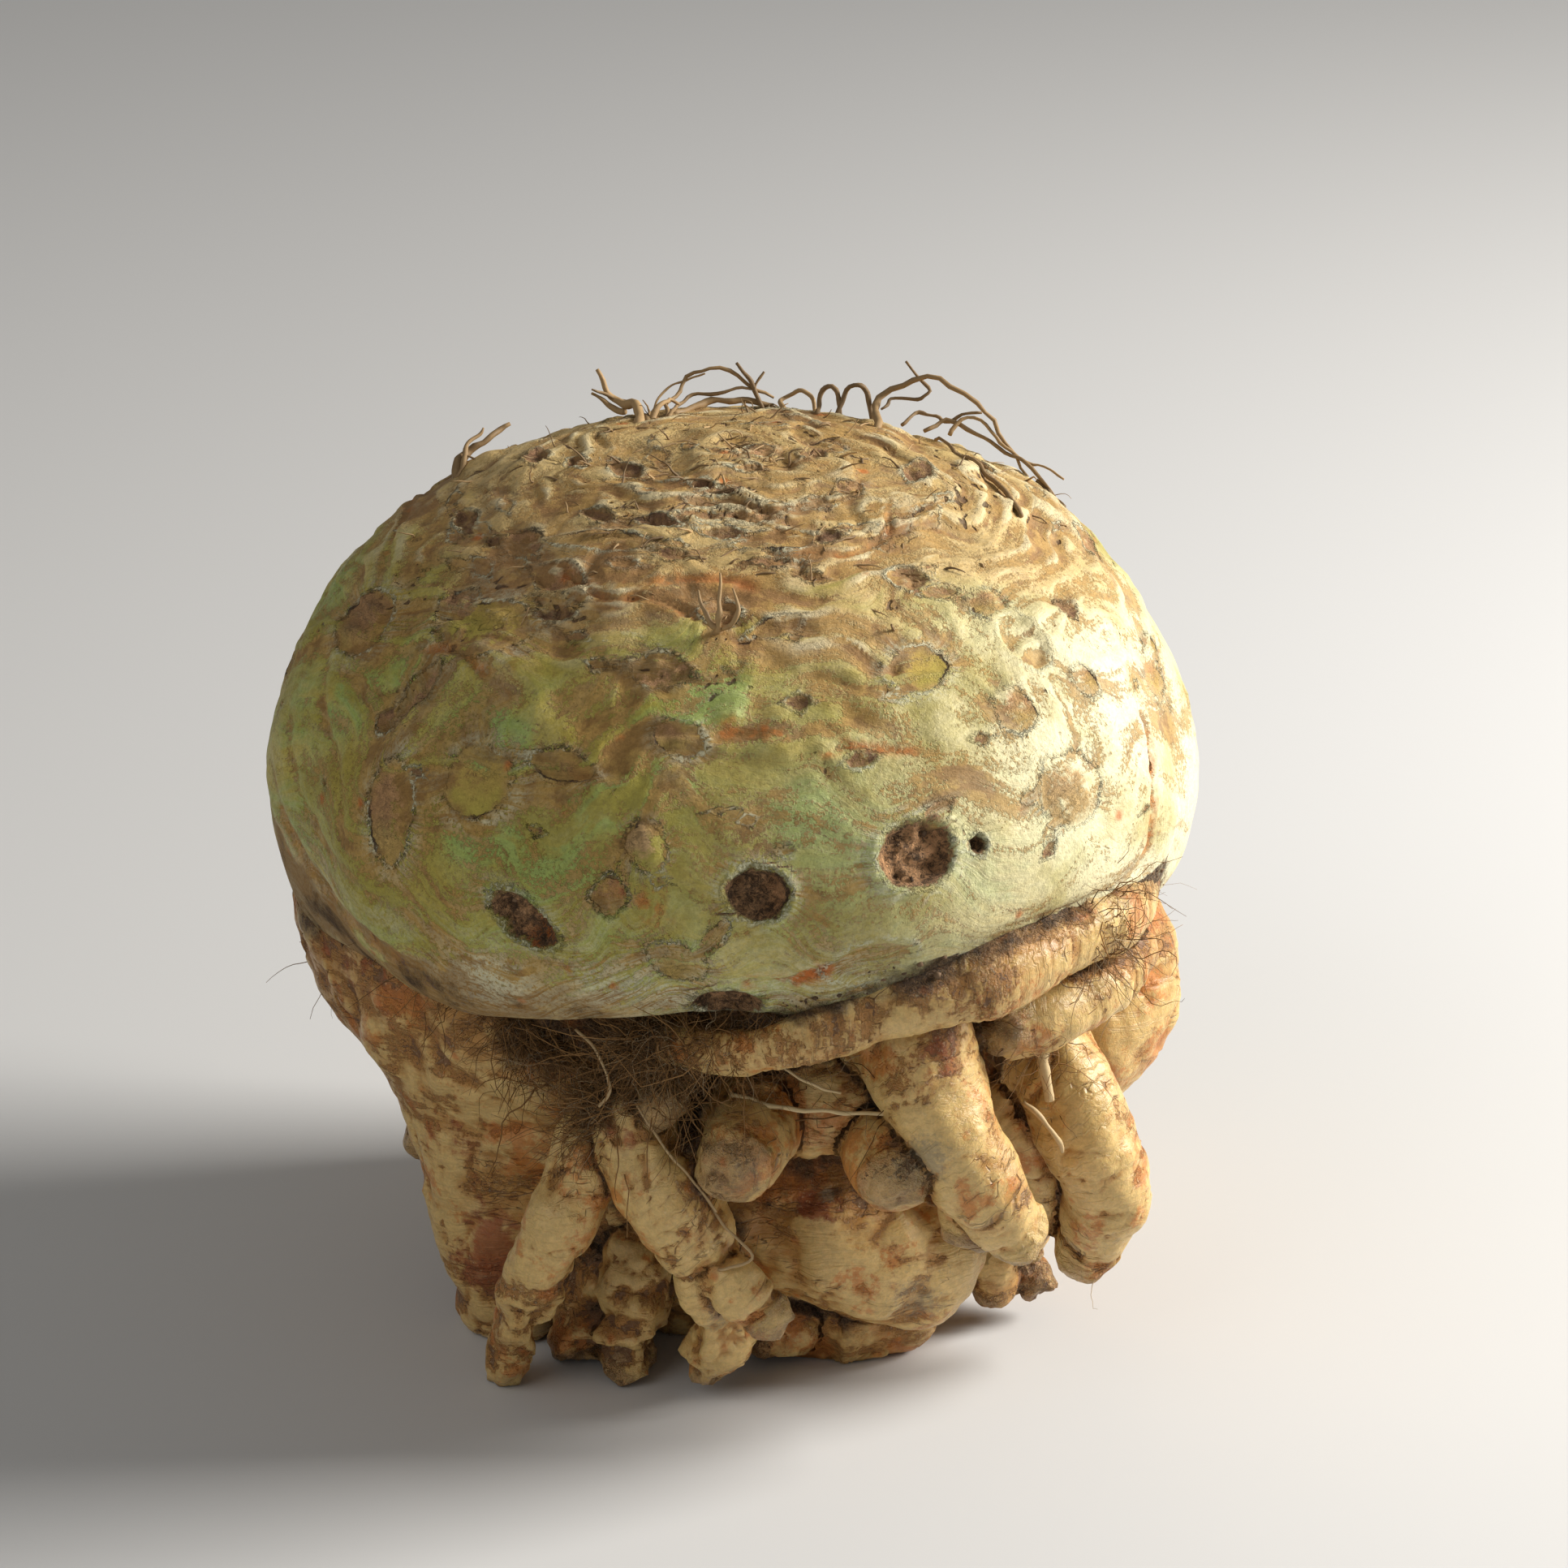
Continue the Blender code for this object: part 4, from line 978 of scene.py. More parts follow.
# (how fast each wrinkle noise changes across and down, per millimetre, its height in mm, and its seed)
WRINKLES = [(0.075, 0.17, 0.50, 16), (0.12, 0.36, 0.32, 18), (0.24, 0.80, 0.15, 19)]
wrinkle, fissure = np.zeros(len(bulb_points)), np.zeros(len(bulb_points))
for round_rate, down_rate, height, seed in WRINKLES:
    place = np.column_stack([points_mm[:, :2] * round_rate, lines_mm * down_rate])
    wave = noise(place + 0.5 * layered_noise(points_mm, 7, 2, seed)[:, None], 1.0, seed)
    wrinkle += height * MM * wave
    open_share = step_between(0.1, 0.5, noise(points_mm, 11, seed + 20))
    fissure = np.maximum(fissure, (1 - np.abs(wave)) ** 12 * open_share)
upper = step_between(84 * MM, 112 * MM, bulb_points[:, 2])
bulb_relief = (
    scar_relief
    + fold_relief
    + LEDGE_RISE * side_share * ledge
    + wrinkle * (0.22 + 0.95 * upper)
    - 0.28 * MM * fissure * (0.25 + 0.75 * upper)
    + lumps(bulb_points, LUMPS)
    + smooth_union_lift(np.maximum(bulb_to_knot, 0), lip_blend(bulb_points)) * (bulb_points[:, 2] < 76 * MM)
)
bulb_relief[-2:] = 0
bulb_skin = bulb_points + bulb_out * bulb_relief[:, None]
move_points(bulb, bulb_skin)
bulb_skin, bulb_facing = points_of(bulb.data, normals=True)
bulb_hollow = hollow_depth(bulb_skin, bulb_facing, joined_pairs(bulb.data), 24) / MM
print("bulb's skin from and to, in mm:", *extent_mm(bulb_skin))

# %% [markdown]
# The bulb isn't the same all round. Its right side, which faces the lamp, is painted pale ivory as a painted
# highlight; its left side runs down dusty into the neck, the lip has a white film and the crown is tan. These
# regions become numbers on the points, beside the masks from above.

# %% Give the bulb's points their values
bulb_turn = azimuth_of(bulb_points)
# The side that faces the window lamp; its skin is painted paler there as a painted highlight.
lit_side = bump_of(turned(bulb_turn + 22) / 42) * step_between(122 * MM, 100 * MM, bulb_points[:, 2])
underside = step_between(69 * MM, 62 * MM, bulb_points[:, 2])
neck_level = points_mm[:, 2] - 6 * bump_of(turned(bulb_turn + 165) / 26) + 3 * noise(points_mm, 8, 62)
left_neck = bump_of(turned(bulb_turn + 142) / 42) * step_between(73, 65, neck_level)
lip_noise = layered_noise(points_mm, 6, 3, 52)
film_noise = layered_noise(points_mm * [1, 1, 1.6], 15, 3, 54)
film_patches = np.clip(0.75 + 0.7 * film_noise, 0, 1)
lip_film = bump_of((points_mm[:, 2] - 65) / 11) * film_patches * (1 - left_neck)
height_share = bump_of((points_mm[:, 2] - 86) / 24)
# Less green on the lamp side, as part of the painted highlight.
greenish = height_share * (0.40 - 0.22 * lit_side + 0.35 * layered_noise(points_mm * [1, 1, 2], 22, 3, 53))
crown_noise = layered_noise(points_mm * [0.5, 0.5, 1], 7, 3, 51)
crown_tan = crown * (0.42 + 0.4 * noise(points_mm, 8, 17)) + 0.4 * upper * crown_noise
give_values(
    bulb,
    green=np.clip(np.maximum(green, greenish), 0, 1) * (1 - 0.7 * crown) * (1 - left_neck),
    ochre=ochre,
    crown=crown,
    tan=np.clip(crown_tan + 0.15 * underside + left_neck * (1 + lip_noise), 0, 1),
    halo=np.clip(scar_masks["halo"], 0, 1),
    dark=np.clip(np.maximum(near_knot * (0.8 + 0.4 * lip_noise), left_neck * (0.14 + 0.6 * lip_noise)), 0, 1),
    crack=np.clip(np.maximum(0.8 * crease, 0.75 * fissure * (0.2 + 0.8 * upper)), 0, 1),
    chalk=np.maximum(scar_masks["chalk"], lip_film),
    ivory=lit_side,
    dusk=np.clip(np.maximum(dusk, 1.3 * left_neck * (0.8 + 0.6 * lip_noise)), 0, 1.3),
    hollow=np.clip(0.5 + 1.6 * bulb_hollow, 0, 1),
    rust=rust,
    lines=lines_mm,
    **{"scar_" + name: numbers for name, numbers in scar_place.items()},
)
give_colours(bulb, scar_floor=scar_floors)
print("the bulb's points have", len(bulb.data.attributes), "attributes")

# %% [markdown]
# ## The knot's skin
#
# For each point of the joined skin the script asks how far it is from every root's line. The nearest root
# says which root the point is on and how far along it lies, for the ring wrinkles and the worn tip. The
# second nearest says how deep in a crevice it is: there the skin is lifted to round the crease off, and
# soil and root hairs collect.

# %% Measure the knot against its roots
CORE_SOFTNESS, MASS_SOFTNESS, ROOT_SOFTNESS = 3 * MM, 2.5 * MM, 0.8 * MM
BUTTRESS_SOFTNESS = 9 * MM
CREASE_DEPTH, CREASE_WIDTH = 0.8 * MM, 1.1 * MM


def distances_to_roots(points):
    """For each point and root, the least |point - centre| - radius over the line, and the place along it."""
    single = points[:, None].astype(np.float32)
    gaps, places = [], []
    for line in root_lines.values():
        at = run_lengths(line)
        away = np.linalg.norm(single - line[None, :, :3].astype(np.float32), axis=-1)
        away -= line[None, :, 3].astype(np.float32)
        best = np.argmin(away, axis=1)
        gaps.append(away[np.arange(len(points)), best])
        places.append(at[best])
    return np.array(gaps).T, np.array(places).T


def distance_to_core(points):
    """The distance outside the core's profile, measured straight out from its axis."""
    azimuth = np.arctan2(points[:, 1] - CORE_Y, points[:, 0])
    outline = core_profile[np.argsort(core_profile[:, 1])]
    radius = np.interp(points[:, 2], outline[:, 1], outline[:, 0])
    surface = core_surface(azimuth, radius, points[:, 2])
    return np.hypot(points[:, 0], points[:, 1] - CORE_Y) - np.hypot(surface[:, 0], surface[:, 1] - CORE_Y)


root_gaps, root_places = distances_to_roots(knot_points)
root_names = list(root_lines)
root_ends = np.array([run_lengths(line)[-1] for line in root_lines.values()])
root_softness = [MASS_SOFTNESS if name in MASSES else ROOT_SOFTNESS for name in root_names]
softness = np.array(root_softness + [CORE_SOFTNESS])
buttress = np.array([name in ("left_buttress", "left_neck") for name in root_names] + [True])
all_gaps = np.column_stack([root_gaps, distance_to_core(knot_points)])
order = np.argsort(all_gaps, axis=1)[:, :2]
everyone = np.arange(len(knot_points))
nearest, second = order[:, 0], order[:, 1]
crease_gap = all_gaps[everyone, second] - all_gaps[everyone, nearest]
grown_in = buttress[nearest] & buttress[second]
crease_blend = np.where(grown_in, BUTTRESS_SOFTNESS, 0.5 * (softness[nearest] + softness[second]))
creased = np.where(grown_in, 0, 1) * bump_of(crease_gap / CREASE_WIDTH)
on_root = np.minimum(nearest, len(root_names) - 1)
is_core = nearest == len(root_names)
along_mm = np.where(is_core, knot_points[:, 2], root_places[everyone, on_root]) / MM
to_tip = np.where(is_core, 1.0, root_ends[on_root] - root_places[everyone, on_root])
blunt = np.array([name not in MASSES for name in root_names])[on_root] & ~is_core
print("points on the core:", int(is_core.sum()), "of", len(knot_points))

# %% [markdown]
# The knot's relief is a sum too: the lifts that round off creases, lumps, rings across each root, pinches
# where it grew in stages, and the ragged stubs at the foot. Last, a slow noise bends the whole knot a
# little, so that no root keeps the even curve of its route.

# %% Raise the knot's skin
KNOT_LUMPS = [(15, 1.2, 22), (6.4, 0.85, 23), (3.2, 0.42, 24), (1.7, 0.18, 25)]
RING_DEPTH, PINCH_DEPTH = 0.30 * MM, 0.9 * MM
WRINKLE_DEPTH, RAGGED_HEIGHT = 0.65 * MM, 2.6 * MM
KNOT_BEND, KNOT_BEND_SIZE = 1.3, 17
knot_mm = knot_points / MM
# The core and the masses share one height, so no ring pattern breaks off where one of them runs into another.
bent_along = np.where(blunt, along_mm + 7.3 * on_root, knot_mm[:, 2]) + 0.8 * layered_noise(knot_mm, 5, 2, 33)
ring_noise = noise(np.column_stack([knot_mm[:, :2] * 0.10, bent_along * 0.55]), 1.0, 26)
ring_patches = step_between(-0.15, 0.45, noise(knot_mm, 11, 27))
rings = (1 - np.abs(ring_noise)) ** 8 * (0.25 + 0.75 * ring_patches)
pinch_noise = noise(np.column_stack([knot_mm[:, :2] * 0.035, bent_along * 0.13]), 1.0, 34)
pinches = (1 - np.abs(pinch_noise)) ** 3 - 0.35
# The share of the lumps that each of the smoother roots keeps. The others keep USUAL_LUMPS, the core all.
SMOOTH_ROOTS = {
    "belt": 0.35, "belt_under": 0.5, "right_claw": 0.6, "right_hook": 0.7, "left_knob": 0.6,
    "right_knob": 0.6,
}
USUAL_LUMPS = 0.85
smoothness = np.array([SMOOTH_ROOTS.get(name, USUAL_LUMPS) for name in root_names] + [1.0])
roughly = calm(smoothness[nearest], joined_pairs(knot.data), 6)
wrinkles = (1 - np.abs(noise(knot_mm + 1.5 * layered_noise(knot_mm, 5, 2, 41)[:, None], 8, 39))) ** 7
ragged_foot = (
    step_between(28, 10, knot_mm[:, 2])
    * bump_of((knot_mm[:, 0] + 13) / 16)
    * step_between(-22, -34, knot_mm[:, 1])
)
billows = 0.4 - 1.5 * np.abs(noise(knot_mm, 5, 42)) + 0.6 * layered_noise(knot_mm, 2.6, 2, 43)
tip = np.where(blunt, 1 - step_between(2 * MM, 7 * MM, to_tip + 1.5 * MM * noise(knot_mm, 3, 28)), 0)
under_lip = step_between(5 * MM, 0, knot_to_bulb)
knot_relief = (
    smooth_union_lift(crease_gap, crease_blend)
    + smooth_union_lift(np.maximum(knot_to_bulb, 0), lip_blend(knot_points))
    + lumps(knot_points, KNOT_LUMPS) * roughly
    - RING_DEPTH * rings
    - PINCH_DEPTH * pinches * calm(blunt * 1.0, joined_pairs(knot.data), 6)
    - CREASE_DEPTH * creased
    - WRINKLE_DEPTH * wrinkles * roughly
    + ragged_foot * RAGGED_HEIGHT * billows
    + tip * 0.6 * MM * layered_noise(knot_mm, 2.2, 2, 29)
)
bend = np.column_stack([noise(knot_mm, KNOT_BEND_SIZE, seed) for seed in (35, 36, 37)])
knot_skin = knot_points + knot_out * knot_relief[:, None] + KNOT_BEND * MM * bend * [1, 1, 0.5]
FLAT_SPOT_Z = 0.25 * MM
knot_skin[:, 2] = np.maximum(knot_skin[:, 2], FLAT_SPOT_Z)
move_points(knot, knot_skin)
knot_skin, knot_facing = points_of(knot.data, normals=True)
print("knot's skin from and to, in mm:", *extent_mm(knot_skin))

# %% [markdown]
# Where soil, cork, rust and grey skin lie on the roots is partly a rule and partly seen in the photograph.
# Soil fills crevices and the corner under the lip; in the crevices, most of all deep under the bulb, its dark
# colour is also painted shade. Cork stays near the lip, on upper faces and at the foot.
# The few coloured spots and the corners with the most root hairs are soft balls in listed places.

# %% Give the knot's points their values
knot_pairs = joined_pairs(knot.data)
knot_hollow = hollow_depth(knot_skin, knot_facing, knot_pairs, 40) / MM
knot_pores = hollow_depth(knot_skin, knot_facing, knot_pairs, 5) / MM
crevice = step_between(0.22, 1.3, calm(knot_hollow, knot_pairs, 2))
# (x, y, z, reach in millimetres, strength) of the places where root hairs and soil are thickest.
HAIR_CORNERS_MM = [
    (-43, -35, 61, 6, 0.5), (-35, -42, 62, 6, 0.7), (-27, -45, 59, 7, 0.9), (-21, -46, 54, 7, 1.0),
    (-12, -48, 60, 7, 0.7), (-4, -50, 60, 6, 0.5), (4, -50, 60, 5, 0.4), (-20, -44, 48, 5, 0.9),
    (-8, -46, 54, 5, 0.6),
    (-27, -40, 52, 6, 0.7), (49, -38, 71, 5, 0.5), (40, -44, 73, 3, 0.3), (12, -46, 54, 6, 0.3),
    (40, -38, 52, 6, 0.4), (-4, -40, 44, 7, 0.3),
    (30, 42, 56, 10, 0.6), (-6, 44, 52, 10, 0.6), (-40, 20, 54, 10, 0.5),
]
RUST_SPOTS_MM = [
    (12, -38, 29.5, 3.6, 0.65), (-12.6, -49, 45.2, 3.2, 0.5), (-16.3, -47.5, 46.2, 2.6, 0.45),
    (-32.4, -27.7, 20, 5, 0.8), (-34, -25.4, 13, 6, 0.6), (-37.8, -27, 34.5, 6, 0.5),
    (-49.9, -20.7, 56, 9, 0.35), (-56, -14, 60, 8, 0.3), (27, -52, 58, 5, 0.4), (14, 45, 50, 6, 0.7),
    (-24, 40, 40, 6, 0.6),
    (40, 27, 40, 6, 0.5), (-36, 16, 40, 7, 0.5), (24, 36, 22, 5, 0.6),
]
GREY_SPOTS_MM = [
    (13.6, -37, 30.5, 1.2, 1.2), (27, -54, 44.5, 4.5, 0.7), (-1, -46, 18, 5, 0.7), (26, -37, 14, 7, 0.6),
    (0.5, -56, 43, 4, 0.2), (23.5, -55, 41, 4.5, 0.25), (52, -33, 20, 5, 0.4), (6, 42, 18, 6, 0.5),
    (-20, 38, 14, 6, 0.5),
]
soil_noise = layered_noise(knot_mm, 5, 3, 30)
off_axis = np.hypot(knot_points[:, 0], knot_points[:, 1])
deep = step_between(38 * MM, 26 * MM, off_axis) * (knot_points[:, 2] > 8 * MM)
lip_soil = under_lip * (0.62 + 0.45 * soil_noise)
knot_turn = azimuth_of(knot_points)
left_side = bump_of(turned(knot_turn + 148) / 52)
belt_end = bump_of(turned(knot_turn + 38) / 15) * step_between(58 * MM, 64 * MM, knot_points[:, 2])
lip_cork = np.maximum(
    step_between(30 * MM, 2 * MM, knot_to_bulb) * left_side,
    step_between(17 * MM, 2 * MM, knot_to_bulb) * (1 - 0.8 * belt_end),
)
low_cork = np.maximum(step_between(18, 5, knot_mm[:, 2]), ragged_foot)
upper_cork = 0.45 * np.clip(knot_facing[:, 2], 0, 1)
cork_noise = 0.3 * layered_noise(knot_mm, 14, 2, 38)
knot_cork = np.clip(0.8 * lip_cork + 0.8 * low_cork + upper_cork + cork_noise, 0, 1)
# In crevices, and more so deep under the bulb, the dark soil colour is partly painted shade; under the lip
# and in the hair corners it is soil.
soil = np.maximum(crevice * (0.62 + 0.4 * soil_noise), lip_soil) + 0.2 * deep * crevice
corner_soil = np.clip(soft_spots(knot_skin, HAIR_CORNERS_MM), 0, 1) * (0.8 + 0.4 * soil_noise)
soil = np.clip(np.maximum(soil, corner_soil), 0, 1)
soil *= step_between(1, 12, knot_mm[:, 2])
RING_OFFSET = 31.0  # sets each root's rings apart from its neighbour's
give_values(
    knot,
    along=bent_along + RING_OFFSET * on_root * blunt,
    tip=tip,
    soil=soil,
    cork=knot_cork,
    rust=soft_spots(knot_skin, RUST_SPOTS_MM),
    grey=soft_spots(knot_skin, GREY_SPOTS_MM),
    hollow=np.clip(0.5 + 0.45 * knot_hollow + 1.6 * knot_pores, 0, 1),
)
print("soil covers", round(100 * float((soil > 0.4).mean())), "% of the knot's points")

# %% [markdown]
# ## Finishes
#
# Both skins share three effects: a powdery grain, small rust-red specks, and soil. Each is a shader node
# group that puts out values or colours only, and each material places it with its own numbers. The two
# materials then read the values that the shapes gave their points, so a scar's floor is dark because the
# same formula sank it.
#
# Fine lines follow a value that runs down the bulb's side and bends round each scar. A plain texture would
# run straight through the scars.


# %% Short calls for node trees
class Net:
    """Adds nodes to a tree: net("ShaderNodeMix", {"A": colour, "B": socket}, data_type="RGBA")."""

    def __init__(self, tree):
        self.tree = tree

    def __call__(self, kind, inputs=None, **settings):
        new = self.tree.nodes.new(kind)
        new.location = (220 * (len(self.tree.nodes) % 7), -240 * (len(self.tree.nodes) // 7))
        for name, value in settings.items():
            setattr(new, name, value)
        for name, value in (inputs or {}).items():
            self.feed(new.inputs[name], value)
        return new

    def feed(self, socket, value):
        """Links a socket's source, or sets a plain value."""
        if isinstance(value, bpy.types.NodeSocket):
            self.tree.links.new(value, socket)
        elif isinstance(value, bpy.types.Node):
            self.tree.links.new(value.outputs[0], socket)
        else:
            socket.default_value = value

    def value(self, name):
        """The number that the shape gave its points under this name."""
        return self("ShaderNodeAttribute", attribute_name=name).outputs["Fac"]

    def math(self, operation, first, second=0.0, clamp=False):
        """One sum, difference or other operation on two numbers."""
        new = self("ShaderNodeMath", operation=operation, use_clamp=clamp)
        self.feed(new.inputs[0], first)
        self.feed(new.inputs[1], second)
        return new.outputs[0]

    def times(self, *values):
        """The product of all values."""
        total = values[0]
        for value in values[1:]:
            total = self.math("MULTIPLY", total, value)
        return total

    def plus(self, *values):
        """The sum of all values."""
        total = values[0]
        for value in values[1:]:
            total = self.math("ADD", total, value)
        return total

    def around(self, value, middle, factor):
        """(value - middle) * factor."""
        return self.math("MULTIPLY", self.math("SUBTRACT", value, middle), factor)

    def toned(self, colour, tone):
        """A colour times a number."""
        grey = self("ShaderNodeCombineColor", {"Red": tone, "Green": tone, "Blue": tone})
        return self.mix(1.0, colour, grey, "MULTIPLY")

    def ramp(self, value, low, high, start=0.0, end=1.0):
        """start below low, end above high, and smooth between them."""
        limits = {"Value": value, "From Min": low, "From Max": high, "To Min": start, "To Max": end}
        return self("ShaderNodeMapRange", limits, interpolation_type="SMOOTHSTEP").outputs["Result"]

    def noise(self, vector, scale, detail=3.0, roughness=0.55, distortion=0.0):
        """Blender's noise, from 0 to 1 with its mean near a half."""
        inputs = {"Vector": vector, "Scale": scale, "Detail": detail, "Roughness": roughness}
        return self("ShaderNodeTexNoise", {**inputs, "Distortion": distortion}).outputs[0]

    def mix(self, factor, first, second, blend="MIX"):
        """A colour between two, by the factor."""
        new = self("ShaderNodeMix", data_type="RGBA", blend_type=blend)
        for number, value in ((0, factor), (6, first), (7, second)):
            self.feed(new.inputs[number], value)
        return new.outputs[2]

    def bump(self, height, distance, strength=1.0, normal=None):
        """A normal tilted by the slope of a height, on top of another normal if one is given."""
        inputs = {"Height": height, "Distance": distance, "Strength": strength}
        if normal is not None:
            inputs["Normal"] = normal
        return self("ShaderNodeBump", inputs).outputs["Normal"]


def new_group(name, inputs, outputs):
    """A shader node group with its sockets. Returns it, a Net for it, and the sockets of its two ends."""
    group = bpy.data.node_groups.new(name, "ShaderNodeTree")
    for direction, sockets in (("INPUT", inputs), ("OUTPUT", outputs)):
        for label, kind, default in sockets:
            socket = group.interface.new_socket(label, in_out=direction, socket_type=kind)
            if default is not None and direction == "INPUT":
                socket.default_value = default
    net = Net(group)
    return group, net, net("NodeGroupInput").outputs, net("NodeGroupOutput").inputs


def new_material(name, roughness, specular):
    """A material with its Principled shader and output, and a Net for it."""
    material = bpy.data.materials.new(name)
    material.use_nodes = True
    shader = material.node_tree.nodes["Principled BSDF"]
    shader.inputs["Roughness"].default_value = roughness
    shader.inputs["Specular IOR Level"].default_value = specular
    return material, Net(material.node_tree), shader


FLOAT, VECTOR, COLOUR = "NodeSocketFloat", "NodeSocketVector", "NodeSocketColor"
print("short calls for node trees are ready")

# %% [markdown]
# The powdery grain is two noises added and cut, so it stands in crumbs and not in waves. The specks are the
# middles of scattered Voronoi cells, and each cell's own random number decides whether it has one. Soil is
# two browns and lies thickest where its mask is strongest, with a ragged edge.

# %% Shared effects
grain_group, net, given, gives = new_group(
    "powdery_grain",
    [("Vector", VECTOR, None), ("Crumb Scale", FLOAT, 1500.0)],
    [("Tone", FLOAT, None), ("Height", FLOAT, None)],
)
coarse = net.noise(given["Vector"], given["Crumb Scale"], 4.0, 0.7)
fine = net.noise(given["Vector"], net.times(given["Crumb Scale"], 2.7), 3.0, 0.75)
net.feed(gives["Tone"], net.ramp(net.plus(coarse, net.times(fine, 0.6)), 0.55, 1.05))
net.feed(gives["Height"], net.plus(net.times(coarse, 0.55), net.times(fine, 0.45)))

speck_group, net, given, gives = new_group(
    "rust_specks",
    [("Vector", VECTOR, None), ("Cell Scale", FLOAT, 170.0), ("Rarity", FLOAT, 0.6)],
    [("Mask", FLOAT, None)],
)
bent = net.times(net.noise(given["Vector"], 900.0, 2.0), 0.16)
cell_inputs = {"Vector": given["Vector"], "Scale": given["Cell Scale"], "Randomness": 1.0}
cells = net("ShaderNodeTexVoronoi", cell_inputs)
core_mask = net.ramp(net.plus(cells.outputs["Distance"], bent), 0.12, 0.26, 1.0, 0.0)
chosen = net("ShaderNodeSeparateColor", {"Color": cells.outputs["Color"]}).outputs[0]
net.feed(gives["Mask"], net.times(core_mask, net.math("GREATER_THAN", chosen, given["Rarity"])))

# Soil on both skins; on the roots its amount also holds painted shade in crevices.
soil_group, net, given, gives = new_group(
    "soil",
    [
        ("Vector", VECTOR, None), ("Skin", COLOUR, None), ("Amount", FLOAT, 0.0),
        ("Light Soil", COLOUR, None), ("Dark Soil", COLOUR, None),
    ],
    [("Color", COLOUR, None), ("Cover", FLOAT, None), ("Height", FLOAT, None)],
)
clods = net.noise(given["Vector"], 420.0, 5.0, 0.7)
threads = net.noise(given["Vector"], 1900.0, 3.0, 0.8, 0.8)
ragged = net.plus(given["Amount"], net.around(clods, 0.5, 0.9))
cover = net.ramp(ragged, 0.25, 0.85)
earth = net.mix(net.ramp(threads, 0.42, 0.68), given["Dark Soil"], given["Light Soil"])
net.feed(gives["Color"], net.mix(net.times(cover, 0.96), given["Skin"], earth))
net.feed(gives["Cover"], cover)
net.feed(gives["Height"], net.times(cover, net.plus(clods, net.times(threads, 0.8))))
print("shared effects:", [group.name for group in (grain_group, speck_group, soil_group)])

# %% [markdown]
# A scar's edge needs lines a fifth of a millimetre wide, and the mesh has a point every millimetre. So the
# mesh only carries each point's place inside its nearest scar. That changes evenly, and the material can
# tell from it how many millimetres any spot is from the scar's edge.
#
# Both skins need two more parts: a vector whose noise stands in lines across a value of the mesh, and the
# soil over everything.


# %% Parts of both skins
LIGHT_SOIL, DARK_SOIL_AND_SHADE = (0.24, 0.14, 0.065, 1), (0.055, 0.030, 0.014, 1)


def stretched(net, place, across, lines, down):
    """A vector that changes slowly round the piece and fast along the value of its lines."""
    return net("ShaderNodeCombineXYZ", {
        "X": net.times(place.outputs[0], across),
        "Y": net.times(place.outputs[1], across),
        "Z": net.times(lines, down),
    })


def laid_soil(net, shader, where, colour, amount):
    """Soil over a colour, where the value of that name is high. On the roots that value also holds painted
    shade in crevices. Feeds Base Color, returns the soil's node.
    """
    inputs = {"Light Soil": LIGHT_SOIL, "Dark Soil": DARK_SOIL_AND_SHADE, "Skin": colour, "Vector": where}
    soil_node = net("ShaderNodeGroup", inputs, node_tree=soil_group)
    net.feed(soil_node.inputs["Amount"], net.value(amount))
    net.feed(shader.inputs["Base Color"], soil_node.outputs["Color"])
    return soil_node


def distance_from_scar(net, where):
    """(sqrt(u^2 + v^2) - 1) * size in millimetres, below 0 inside the scar, frayed by two noises."""
    across = net("ShaderNodeCombineXYZ", {"X": net.value("scar_u"), "Y": net.value("scar_v")})
    share = net("ShaderNodeVectorMath", {0: across}, operation="LENGTH").outputs["Value"]
    plain = net.times(net.math("SUBTRACT", share, 1.0), net.value("scar_size"))
    waved = net.around(net.noise(where, 380.0, 3.0), 0.5, 2.0)
    frayed = net.around(net.noise(where, 1500.0, 3.0, 0.7), 0.5, 1.1)
    return net.plus(plain, waved, frayed)


print("soil from", DARK_SOIL_AND_SHADE[:3], "to", LIGHT_SOIL[:3])

# %% [markdown]
# The bulb's skin is laid in the order in which it came about: cream flesh under a thin skin, green and
# ochre where light reached it, tan powder over all of it and thickest on the crown, a white chalky film,
# and soil last. First come the noises that all of these share.

# %% The bulb's skin
CREAM, STRAW = (0.49, 0.40, 0.090, 1), (0.37, 0.29, 0.050, 1)
CROWN_CREAM = (0.64, 0.44, 0.190, 1)
HIGHLIGHT_IVORY = (0.83, 0.75, 0.49, 1)
GREEN, OLIVE = (0.30, 0.405, 0.095, 1), (0.35, 0.305, 0.050, 1)
OCHRE = (0.38, 0.23, 0.035, 1)
GLAZE = (0.42, 0.36, 0.070, 1)
TAN, PINK_BROWN = (0.43, 0.252, 0.075, 1), (0.26, 0.125, 0.042, 1)
PURPLE_BROWN = (0.16, 0.085, 0.055, 1)
CHALK = (0.64, 0.64, 0.45, 1)
RUST = (0.52, 0.145, 0.025, 1)
CRACK_BROWN = (0.085, 0.045, 0.025, 1)

